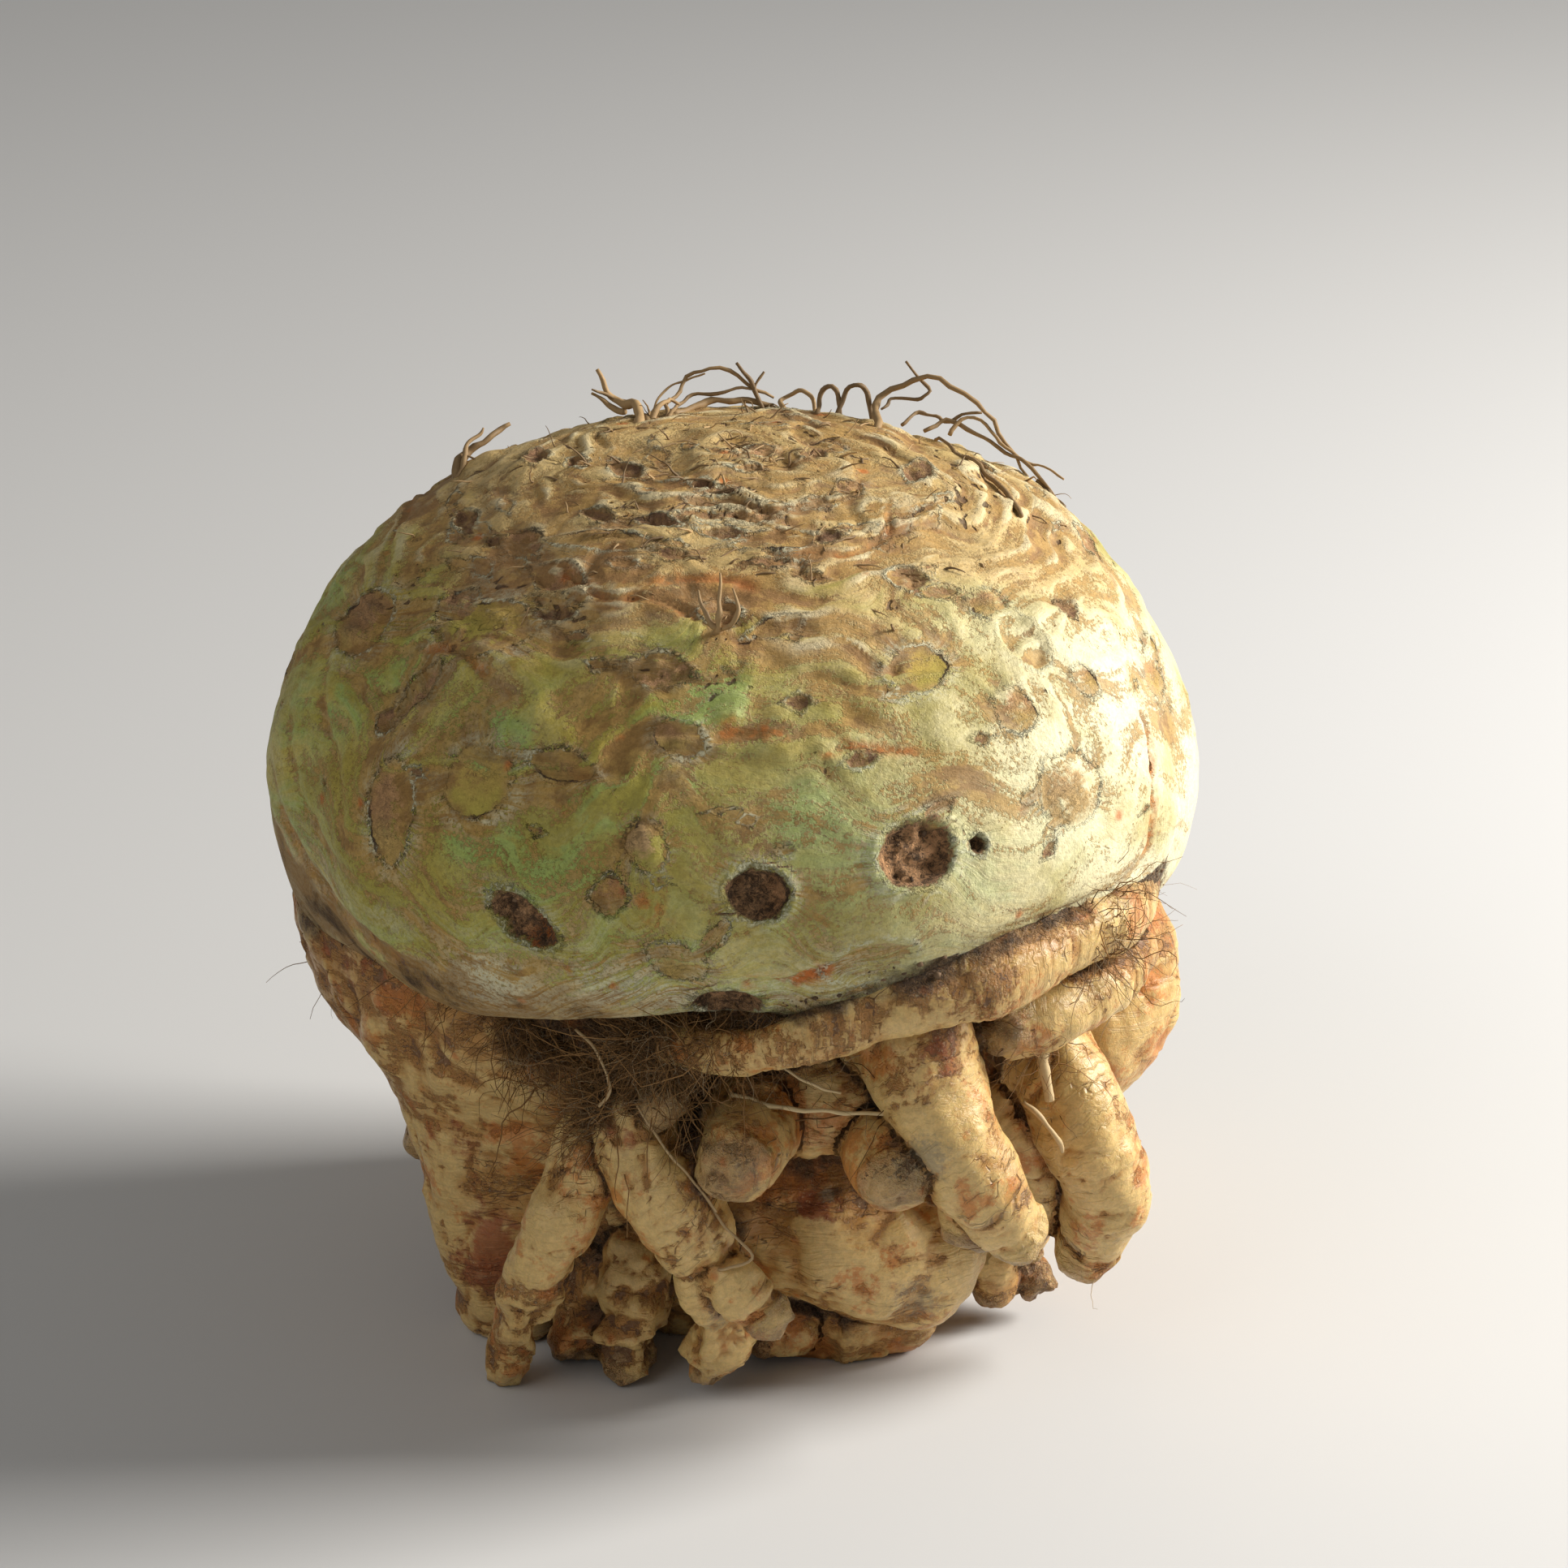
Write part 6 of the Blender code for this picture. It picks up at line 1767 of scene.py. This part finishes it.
# %% The crown's fibres
# (shade from dark to pale, [(x, y, z, thickness) in millimetres along each strand]).
CROWN_STRANDS_MM = [
    (0.85, [
        (-12.4, 21, 120, 2.6), (-13, 26, 122, 2.4), (-15.2, 31, 121.6, 1.9), (-17.4, 32.2, 122.8, 1.5),
        (-19, 32.5, 125.8, 0.9),
    ]),
    (0.8, [
        (-15, 30, 121, 1.6), (-17.1, 31.5, 120.9, 1.3), (-18.6, 31.3, 121.8, 1.0),
        (-20.1, 30.9, 122.6, 0.7),
    ]),
    (0.35, [
        (-11.4, 23.3, 121, 1.6), (-13.2, 30.5, 121.6, 1.4), (-16.4, 32, 121.8, 1.2),
        (-19.5, 31, 123.6, 0.6),
    ]),
    (0.6, [(-11, 24, 120.6, 1.8), (-9.6, 27, 122.6, 1.3), (-8.5, 30, 122.4, 0.9), (-7, 31, 121.4, 0.6)]),
    (0.3, [
        (-38.5, 17, 113, 2.6), (-38, 21, 115.6, 2.5), (-37, 24.5, 116.4, 2.2), (-35.4, 25, 117.6, 1.8),
        (-33.6, 26.2, 118.6, 1.5), (-31.3, 27.8, 119.2, 0.8),
    ]),
    (0.45, [
        (-38, 18, 114.5, 1.4), (-37.4, 22.5, 117.2, 1.3), (-35.6, 25, 118.4, 1.0), (-34.8, 26, 119.6, 0.5),
    ]),
    (0.5, [
        (-8.9, 24.6, 121, 1.3), (-8.7, 31.5, 121.6, 1.2), (-6.6, 35.3, 123.4, 1.1),
        (-3.7, 35.3, 124.6, 1.0), (-1.2, 35.5, 125, 1.0), (1.4, 35.1, 123.8, 0.9), (3.8, 34.6, 122.3, 0.9),
        (6, 35.3, 121, 0.7),
    ]),
    (0.35, [
        (-8.7, 25.6, 121, 1.1), (-7, 34, 121, 1.0), (-4.4, 35.4, 121.4, 1.0), (-1.6, 34.6, 122.4, 0.9),
        (1, 34.8, 123, 0.8), (3.6, 34.7, 122.6, 0.6),
    ]),
    (0.9, [
        (-11.6, 32, 119.6, 0.7), (-10.2, 34.3, 121.9, 0.6), (-7.2, 35.5, 123.5, 0.6),
        (-3.9, 35.2, 124.6, 0.4),
    ]),
    (0.15, [(5.4, 34, 119, 1.2), (4.1, 34.5, 122, 1.1), (3, 35.2, 124, 1.0), (1, 35.8, 126.3, 0.7)]),
    (0.2, [(3, 34.8, 122.9, 0.8), (3.9, 35.1, 123.8, 0.7), (4.6, 35.5, 125.2, 0.5)]),
    (0.7, [
        (7.2, 30.5, 120.5, 1.3), (7.6, 35, 121.5, 1.2), (9.6, 35.3, 122.3, 1.2), (11.5, 34.5, 121.8, 1.1),
        (12, 33, 119, 1.0),
    ]),
    (0.2, [
        (12.5, 30.5, 119.5, 1.4), (12.9, 33.8, 121.9, 1.4), (13.8, 34.2, 123.1, 1.3),
        (14.9, 33.4, 122.8, 1.3), (15.4, 31.5, 119, 1.2),
    ]),
    (0.15, [
        (15.4, 31, 119, 1.3), (16, 32.8, 122.7, 1.3), (18, 32.4, 123.9, 1.3), (19.6, 32.5, 122.5, 1.2),
        (20.1, 30.5, 119.5, 1.1),
    ]),
    (0.5, [
        (20.6, 20, 120, 2.0), (20.8, 25, 121.6, 1.9), (20.9, 30.6, 121.6, 1.8), (22.2, 31.5, 123.5, 1.6),
        (25, 31.2, 124.7, 1.4), (28.1, 30.1, 125.6, 1.3), (31.3, 29.2, 125, 1.2), (35, 27.7, 122.6, 1.1),
        (38, 26.8, 118.8, 1.0), (40.6, 24.5, 115.7, 0.9), (42.2, 23, 113.2, 0.7),
    ]),
    (0.15, [
        (25.3, 30.9, 127.4, 0.5), (26.9, 30.8, 125.4, 0.8), (28.1, 29.8, 124, 0.9),
        (26.7, 29.8, 122.3, 0.9), (23, 30.3, 122.2, 0.8), (21, 28, 121.4, 0.8),
    ]),
    (0.25, [
        (24, 27, 119.6, 1.0), (26, 29.8, 120.3, 1.0), (28.3, 29.1, 120.4, 0.9), (31.4, 28.9, 120.2, 0.9),
        (35.8, 27.8, 121.1, 0.7),
    ]),
    (0.65, [
        (31, 26, 118.4, 1.0), (33.3, 27.9, 120.6, 0.9), (35.8, 27.5, 120, 0.9), (38.7, 25.1, 117.4, 0.8),
        (42.9, 23.5, 114.9, 0.7), (47.3, 20.3, 113.6, 0.5),
    ]),
    (0.4, [
        (27, 26, 119.4, 1.2), (30.4, 28, 120, 1.2), (34.4, 27, 118.6, 1.1), (37.8, 25.7, 117, 1.1),
        (41.4, 23, 115.4, 1.0), (45.7, 20.8, 111.4, 0.7),
    ]),
    (0.3, [
        (28.8, 23, 119.4, 0.7), (31.1, 17.1, 119.7, 0.9), (33.3, 13, 119.3, 1.0), (35.6, 10.8, 118.5, 1.1),
        (37.4, 7.7, 117.8, 1.2), (39, 3.6, 116.9, 1.3), (40.1, -1.1, 115.6, 1.1),
    ]),
    (0.1, [(42.9, 21.5, 113.4, 1.1), (44.6, 20.5, 112, 1.2), (46.2, 15, 112.2, 1.0)]),
    (0.6, [
        (-1.1, -36.6, 111.8, 1.5), (-2.2, -37.6, 114.2, 1.3), (-3.2, -36.6, 116.2, 1.0),
        (-3.6, -35, 117.2, 0.5),
    ]),
    (0.7, [
        (-1.1, -36.6, 111.8, 1.4), (0.8, -37.6, 114, 1.3), (1.8, -37, 116.4, 1.0), (1.2, -35.6, 118, 0.5),
    ]),
    (0.75, [
        (-1.1, -36.6, 112, 1.6), (-0.9, -37.4, 114.6, 1.4), (-0.3, -36.4, 117.4, 1.1),
        (-0.6, -34.6, 119.4, 0.5),
    ]),
    (0.5, [(-8, 29.7, 120.6, 1.8), (-3.5, 34.4, 120.6, 1.7), (1.1, 34.4, 121, 1.6), (5.7, 34.4, 120.4, 1.4)]),
]
STRAND_STEPS = 22
CROWN_BRISTLES = 420
CROWN_SEED = 5
# One noise read in three far-apart places gives three unlike numbers, one for each axis.
NOISE_PLACES = [[[0, 0, 0], [50, 0, 0], [0, 50, 0]]]
rng = np.random.default_rng(CROWN_SEED)


def drawn_strands(name, routes_mm, material, wave, sides, slimness=1.0):
    """Strands along given routes with a thickness at every point, waved by a little noise."""
    lines, radii = [], []
    for number, (_, route) in enumerate(routes_mm):
        route = np.array(route, float)
        line = smooth_line(route, np.linspace(0, run_lengths(route)[-1], STRAND_STEPS))
        centres = line[:, :3]
        lines.append(centres + wave * noise(centres[:, None] + NOISE_PLACES, 2.6, 70 + number))
        unevenness = 1 + 0.3 * noise(centres, 1.4, 71 + number)
        radii.append(0.5 * slimness * np.maximum(line[:, 3], 0.4) * unevenness)
    lines, radii = np.array(lines) * MM, np.array(radii) * MM
    points = tube_rings(lines, radii, sides).reshape(-1, 3)
    points[:, 2] = np.maximum(points[:, 2], FLAT_SPOT_Z)
    piece = make_piece(name, points, *tube_faces(len(lines), STRAND_STEPS, sides))
    give_values(piece, shade=np.repeat([shade for shade, _ in routes_mm], STRAND_STEPS * sides))
    piece.data.materials.append(material)
    return piece


crown_strands = drawn_strands("crown_strands", CROWN_STRANDS_MM, crown_dry, 0.6, 8, 0.58)
crown_share = step_between(108 * MM, 120 * MM, bulb_skin[:, 2])
crown_share = crown_share / crown_share.sum()
roots_of_bristles = rng.choice(len(bulb_skin), CROWN_BRISTLES, p=crown_share)
lean = rng.normal(0, 1, (CROWN_BRISTLES, 3)) * [1, 1, 0.15]
bristle_lines = grown_strands(
    bulb_skin[roots_of_bristles] - 0.3 * MM * bulb_out[roots_of_bristles],
    bulb_out[roots_of_bristles] * 0.25 + lean,
    rng.uniform(1.2, 5.0, CROWN_BRISTLES) * MM, 0.7, 0.9, 9, rng,
)
bristle_thickness = rng.uniform(0.15, 0.5, CROWN_BRISTLES) * MM
bristle_shades = rng.random(CROWN_BRISTLES)
bristles = strand_piece("crown_bristles", bristle_lines, bristle_thickness, 5, crown_dry, bristle_shades)
print("crown:", len(CROWN_STRANDS_MM), "strands and", CROWN_BRISTLES, "bristles drawn")

# %% [markdown]
# Root hairs grow where the soil mask is strong, and thickest in the corners under the lip. The chance of
# each skin point to carry a hair is its mask times the sum of those corners' soft balls. The thin rootlets
# are listed one by one.

# %% Root hairs and rootlets
BROWN_HAIRS, PALE_HAIRS = 3540, 800
THICK_SHARE = 0.07  # of the brown hairs, which stand out from the mat by being longer, thicker and paler
HAIR_SEED = 8


def hair_chance(points, mask):
    """The mask times the corners' sum, with a little everywhere, as shares of 1."""
    chance = np.clip(mask, 0, 1) * (0.0015 + soft_spots(points, HAIR_CORNERS_MM))
    return chance / chance.sum()


rng = np.random.default_rng(HAIR_SEED)
hair_mask = np.clip(soil + 0.1, 0, 1) * (knot_to_bulb > -1 * MM) * (knot_points[:, 2] > 12 * MM)
hair_roots = rng.choice(len(knot_skin), BROWN_HAIRS, p=hair_chance(knot_skin, hair_mask))
thick = rng.random(BROWN_HAIRS) < THICK_SHARE
outwards = knot_out[hair_roots] * np.where(thick, 1.0, 0.5)[:, None]
hair_directions = outwards + rng.normal(0, 0.8, (BROWN_HAIRS, 3))
hair_lengths = (rng.uniform(3.5, 12, BROWN_HAIRS) + 6 * thick) * MM
hair_lines = grown_strands(knot_skin[hair_roots], hair_directions, hair_lengths, 2.0, 0.7, 10, rng)
hair_thickness = (rng.uniform(0.08, 0.20, BROWN_HAIRS) + 0.12 * thick) * MM
hair_shades = np.where(thick, 0.7 + 0.3 * rng.random(BROWN_HAIRS), rng.random(BROWN_HAIRS) ** 1.2)
brown_hairs = strand_piece("brown_root_hairs", hair_lines, hair_thickness, 3, hair_brown, hair_shades)
pale_roots = rng.choice(len(knot_skin), PALE_HAIRS, p=hair_chance(knot_skin, np.clip(hair_mask + 0.05, 0, 1)))
pale_directions = knot_out[pale_roots] * 0.7 + rng.normal(0, 0.7, (PALE_HAIRS, 3))
pale_lengths = rng.uniform(2, 9, PALE_HAIRS) * MM
pale_lines = grown_strands(knot_skin[pale_roots], pale_directions, pale_lengths, 1.7, 0.3, 12, rng)
pale_thickness = rng.uniform(0.07, 0.15, PALE_HAIRS) * MM
pale_hairs = strand_piece("pale_root_hairs", pale_lines, pale_thickness, 3, hair_pale, rng.random(PALE_HAIRS))
# (shade, [(x, y, z, thickness) in millimetres along each thin rootlet]).
ROOTLETS_MM = [
    (1.0, [(0.5, -46, 50, 0.7), (6, -48, 49.2, 0.7), (14, -48.6, 48.5, 0.65), (22, -47.5, 47.8, 0.55)]),
    (0.7, [(41, -33, 58, 2.2), (42, -36, 53, 2.0), (43, -37, 48, 1.8), (43.5, -37, 44.5, 1.4)]),
    (0.5, [(40, -38, 45, 0.8), (43, -39.5, 42.5, 0.8), (45, -39, 39.5, 0.7), (45.5, -37, 37, 0.5)]),
    (0.2, [
        (-2.8, -50, 36.1, 0.36), (-0.1, -51.5, 32.8, 0.36), (3.4, -52.5, 28.9, 0.34), (0, -53, 27.5, 0.3),
        (-1.3, -52, 26.8, 0.3),
    ]),
    (0.3, [(-12, -49, 50, 0.3), (-8, -51, 44, 0.32), (-4, -51, 39, 0.32), (-1.5, -51, 35, 0.3)]),
    (0.8, [(5, -49, 57.5, 0.3), (8, -50, 55.2, 0.3), (12, -50, 53, 0.3), (15, -49, 51.4, 0.25)]),
    (0.3, [(-20, -47, 60, 0.22), (-17, -50, 57.5, 0.22), (-15.5, -51, 53.5, 0.22), (-17, -50, 50, 0.2)]),
    (0.6, [(26, 44, 44, 1.6), (31, 47, 36, 1.3), (30, 46, 28, 0.9)]),
    (0.6, [(-34, 30, 44, 1.4), (-40, 30, 36, 1.2), (-38, 28, 28, 0.8)]),
]
rootlets = drawn_strands("rootlets", ROOTLETS_MM, rootlet_skin, 0.25, 8)
print("hairs drawn:", BROWN_HAIRS, "brown and", PALE_HAIRS, "pale;", len(ROOTLETS_MM), "rootlets")

# %% [markdown]
# A soil crumb is a solid of twenty triangles whose twelve corners are moved in or out by a draw. It is
# stretched, scaled and set on the skin where the soil is thick.

# %% Soil crumbs
CRUMBS = 2400
CRUMB_SEED = 21
rng = np.random.default_rng(CRUMB_SEED)
CRUMB_CORNERS = 12
golden = (1 + 5**0.5) / 2
crumb_points = np.array([
    (-1, golden, 0), (1, golden, 0), (-1, -golden, 0), (1, -golden, 0), (0, -1, golden), (0, 1, golden),
    (0, -1, -golden), (0, 1, -golden), (golden, 0, -1), (golden, 0, 1), (-golden, 0, -1), (-golden, 0, 1),
]) / np.hypot(1, golden)
crumb_faces = np.array([
    (0, 11, 5), (0, 5, 1), (0, 1, 7), (0, 7, 10), (0, 10, 11), (1, 5, 9), (5, 11, 4), (11, 10, 2),
    (10, 7, 6), (7, 1, 8),
    (3, 9, 4), (3, 4, 2), (3, 2, 6), (3, 6, 8), (3, 8, 9), (4, 9, 5), (2, 4, 11), (6, 2, 10),
    (8, 6, 7), (9, 8, 1),
])
skin_points = np.vstack([bulb_skin, knot_skin])
crumb_mask = np.concatenate([
    0.12 * scar_masks["crumb"] + 0.5 * near_knot * (bulb_points[:, 2] > 60 * MM),
    np.clip(soil - 0.35, 0, 1) ** 2 * (knot_to_bulb > -0.5 * MM) * (knot_points[:, 2] > 10 * MM),
])
crumb_places = rng.choice(len(skin_points), CRUMBS, p=crumb_mask / crumb_mask.sum())
uneven = 1 + rng.uniform(-0.35, 0.35, (CRUMBS, CRUMB_CORNERS, 1))
crumb_sizes = 0.5 * MM * (0.22 + 0.75 * rng.random((CRUMBS, 1, 1)) ** 3)
crumb_stretch = rng.uniform(0.6, 1.3, (CRUMBS, 1, 3))
all_crumbs = skin_points[crumb_places][:, None] + crumb_points[None] * uneven * crumb_sizes * crumb_stretch
all_crumbs[:, :, 2] = np.maximum(all_crumbs[:, :, 2], FLAT_SPOT_Z)
all_crumb_faces = np.arange(CRUMBS)[:, None, None] * CRUMB_CORNERS + crumb_faces[None]
crumbs = make_piece("soil_crumbs", all_crumbs.reshape(-1, 3), all_crumb_faces.reshape(-1, 3))
give_values(crumbs, shade=np.repeat(rng.random(CRUMBS), CRUMB_CORNERS))
crumb_soil = strand_material("soil_crumb", (0.03, 0.018, 0.011, 1), (0.20, 0.125, 0.07, 1), 0.85)
crumbs.data.materials.append(crumb_soil)
print(CRUMBS, "crumbs")

# %% [markdown]
# ## Hand the pieces to the frame
#
# The bulb and the knot stand for the one solid. Everything rides on its only body.

# %% Ride and replace
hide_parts("celeriac")
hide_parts("celeriac")
for piece in (bulb, knot, crown_strands, bristles, brown_hairs, pale_hairs, rootlets, crumbs):
    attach(piece, "root")
big_pieces = (bulb, knot, bristles, brown_hairs, pale_hairs, crumbs)
print("faces:", {piece.name: len(piece.data.polygons) for piece in big_pieces})

# %% [markdown]
# ## Floor, light and camera
#
# A wide pale floor, one soft lamp from the right and a little behind, as a window would give, a weak fill
# from the left, and the pale room's own light.

# %% Studio
FLOOR_SIDE = 2.4
FLOOR_COLOUR = (0.66, 0.665, 0.67, 1)
floor_edge = FLOOR_SIDE / 2
floor_corners = floor_edge * np.array([(-1, -1, 0), (1, -1, 0), (1, 1, 0), (-1, 1, 0)])
floor = make_piece("floor", floor_corners, np.array([[0, 1, 2, 3]]))
floor_material, net, shader = new_material("floor_paper", 0.8, 0.2)
shader.inputs["Base Color"].default_value = FLOOR_COLOUR
floor.data.materials.append(floor_material)


def soft_lamp(name, place, target, size, power, colour):
    """A square area lamp at a place, turned to a target."""
    lamp = bpy.data.lights.new(name, "AREA")
    lamp.shape = "SQUARE"
    lamp.size = size
    lamp.energy = power
    lamp.color = colour
    holder = bpy.data.objects.new(name, lamp)
    holder.location = place
    holder.rotation_euler = (Vector(target) - Vector(place)).to_track_quat("-Z", "Y").to_euler()
    bpy.context.scene.collection.objects.link(holder)


soft_lamp("window", (0.82, 0.12, 0.48), (0, 0, 0.07), 0.36, 16.5, (1.0, 0.96, 0.90))
soft_lamp("fill", (-0.66, -0.62, 0.62), (0, 0, 0.07), 0.8, 2.4, (1.0, 0.98, 0.94))
world = bpy.data.worlds.new("pale_room")
bpy.context.scene.world = world
world.use_nodes = True
world.node_tree.nodes["Background"].inputs["Color"].default_value = (1.0, 0.98, 0.95, 1)
world.node_tree.nodes["Background"].inputs["Strength"].default_value = 0.16
bpy.context.scene.view_settings.view_transform = "Standard"
print("lamps:", [lamp.name for lamp in bpy.data.lights])

# %% [markdown]
# The camera looks down by 22 degrees from three quarters of a metre. Its focal length is given in pixels of
# the photograph, and the lens in millimetres follows from it and the sensor's width.

# %% Camera
CAMERA_ELEVATION = radians(22)
CAMERA_DISTANCE = 0.75
CAMERA_TARGET = Vector((0.0076, 0, 0.076))
FOCAL_PIXELS, IMAGE_PIXELS, SENSOR_MM = 6620, 1932, 36
camera_data = bpy.data.cameras.new("camera")
camera = bpy.data.objects.new("camera", camera_data)
bpy.context.scene.collection.objects.link(camera)
towards = Vector((0, np.cos(CAMERA_ELEVATION), -np.sin(CAMERA_ELEVATION)))
camera.location = CAMERA_TARGET - CAMERA_DISTANCE * towards
camera.rotation_euler = towards.to_track_quat("-Z", "Y").to_euler()
camera_data.sensor_width = SENSOR_MM
camera_data.lens = SENSOR_MM * FOCAL_PIXELS / IMAGE_PIXELS
bpy.context.scene.camera = camera
print("lens", round(camera_data.lens, 2), "mm")
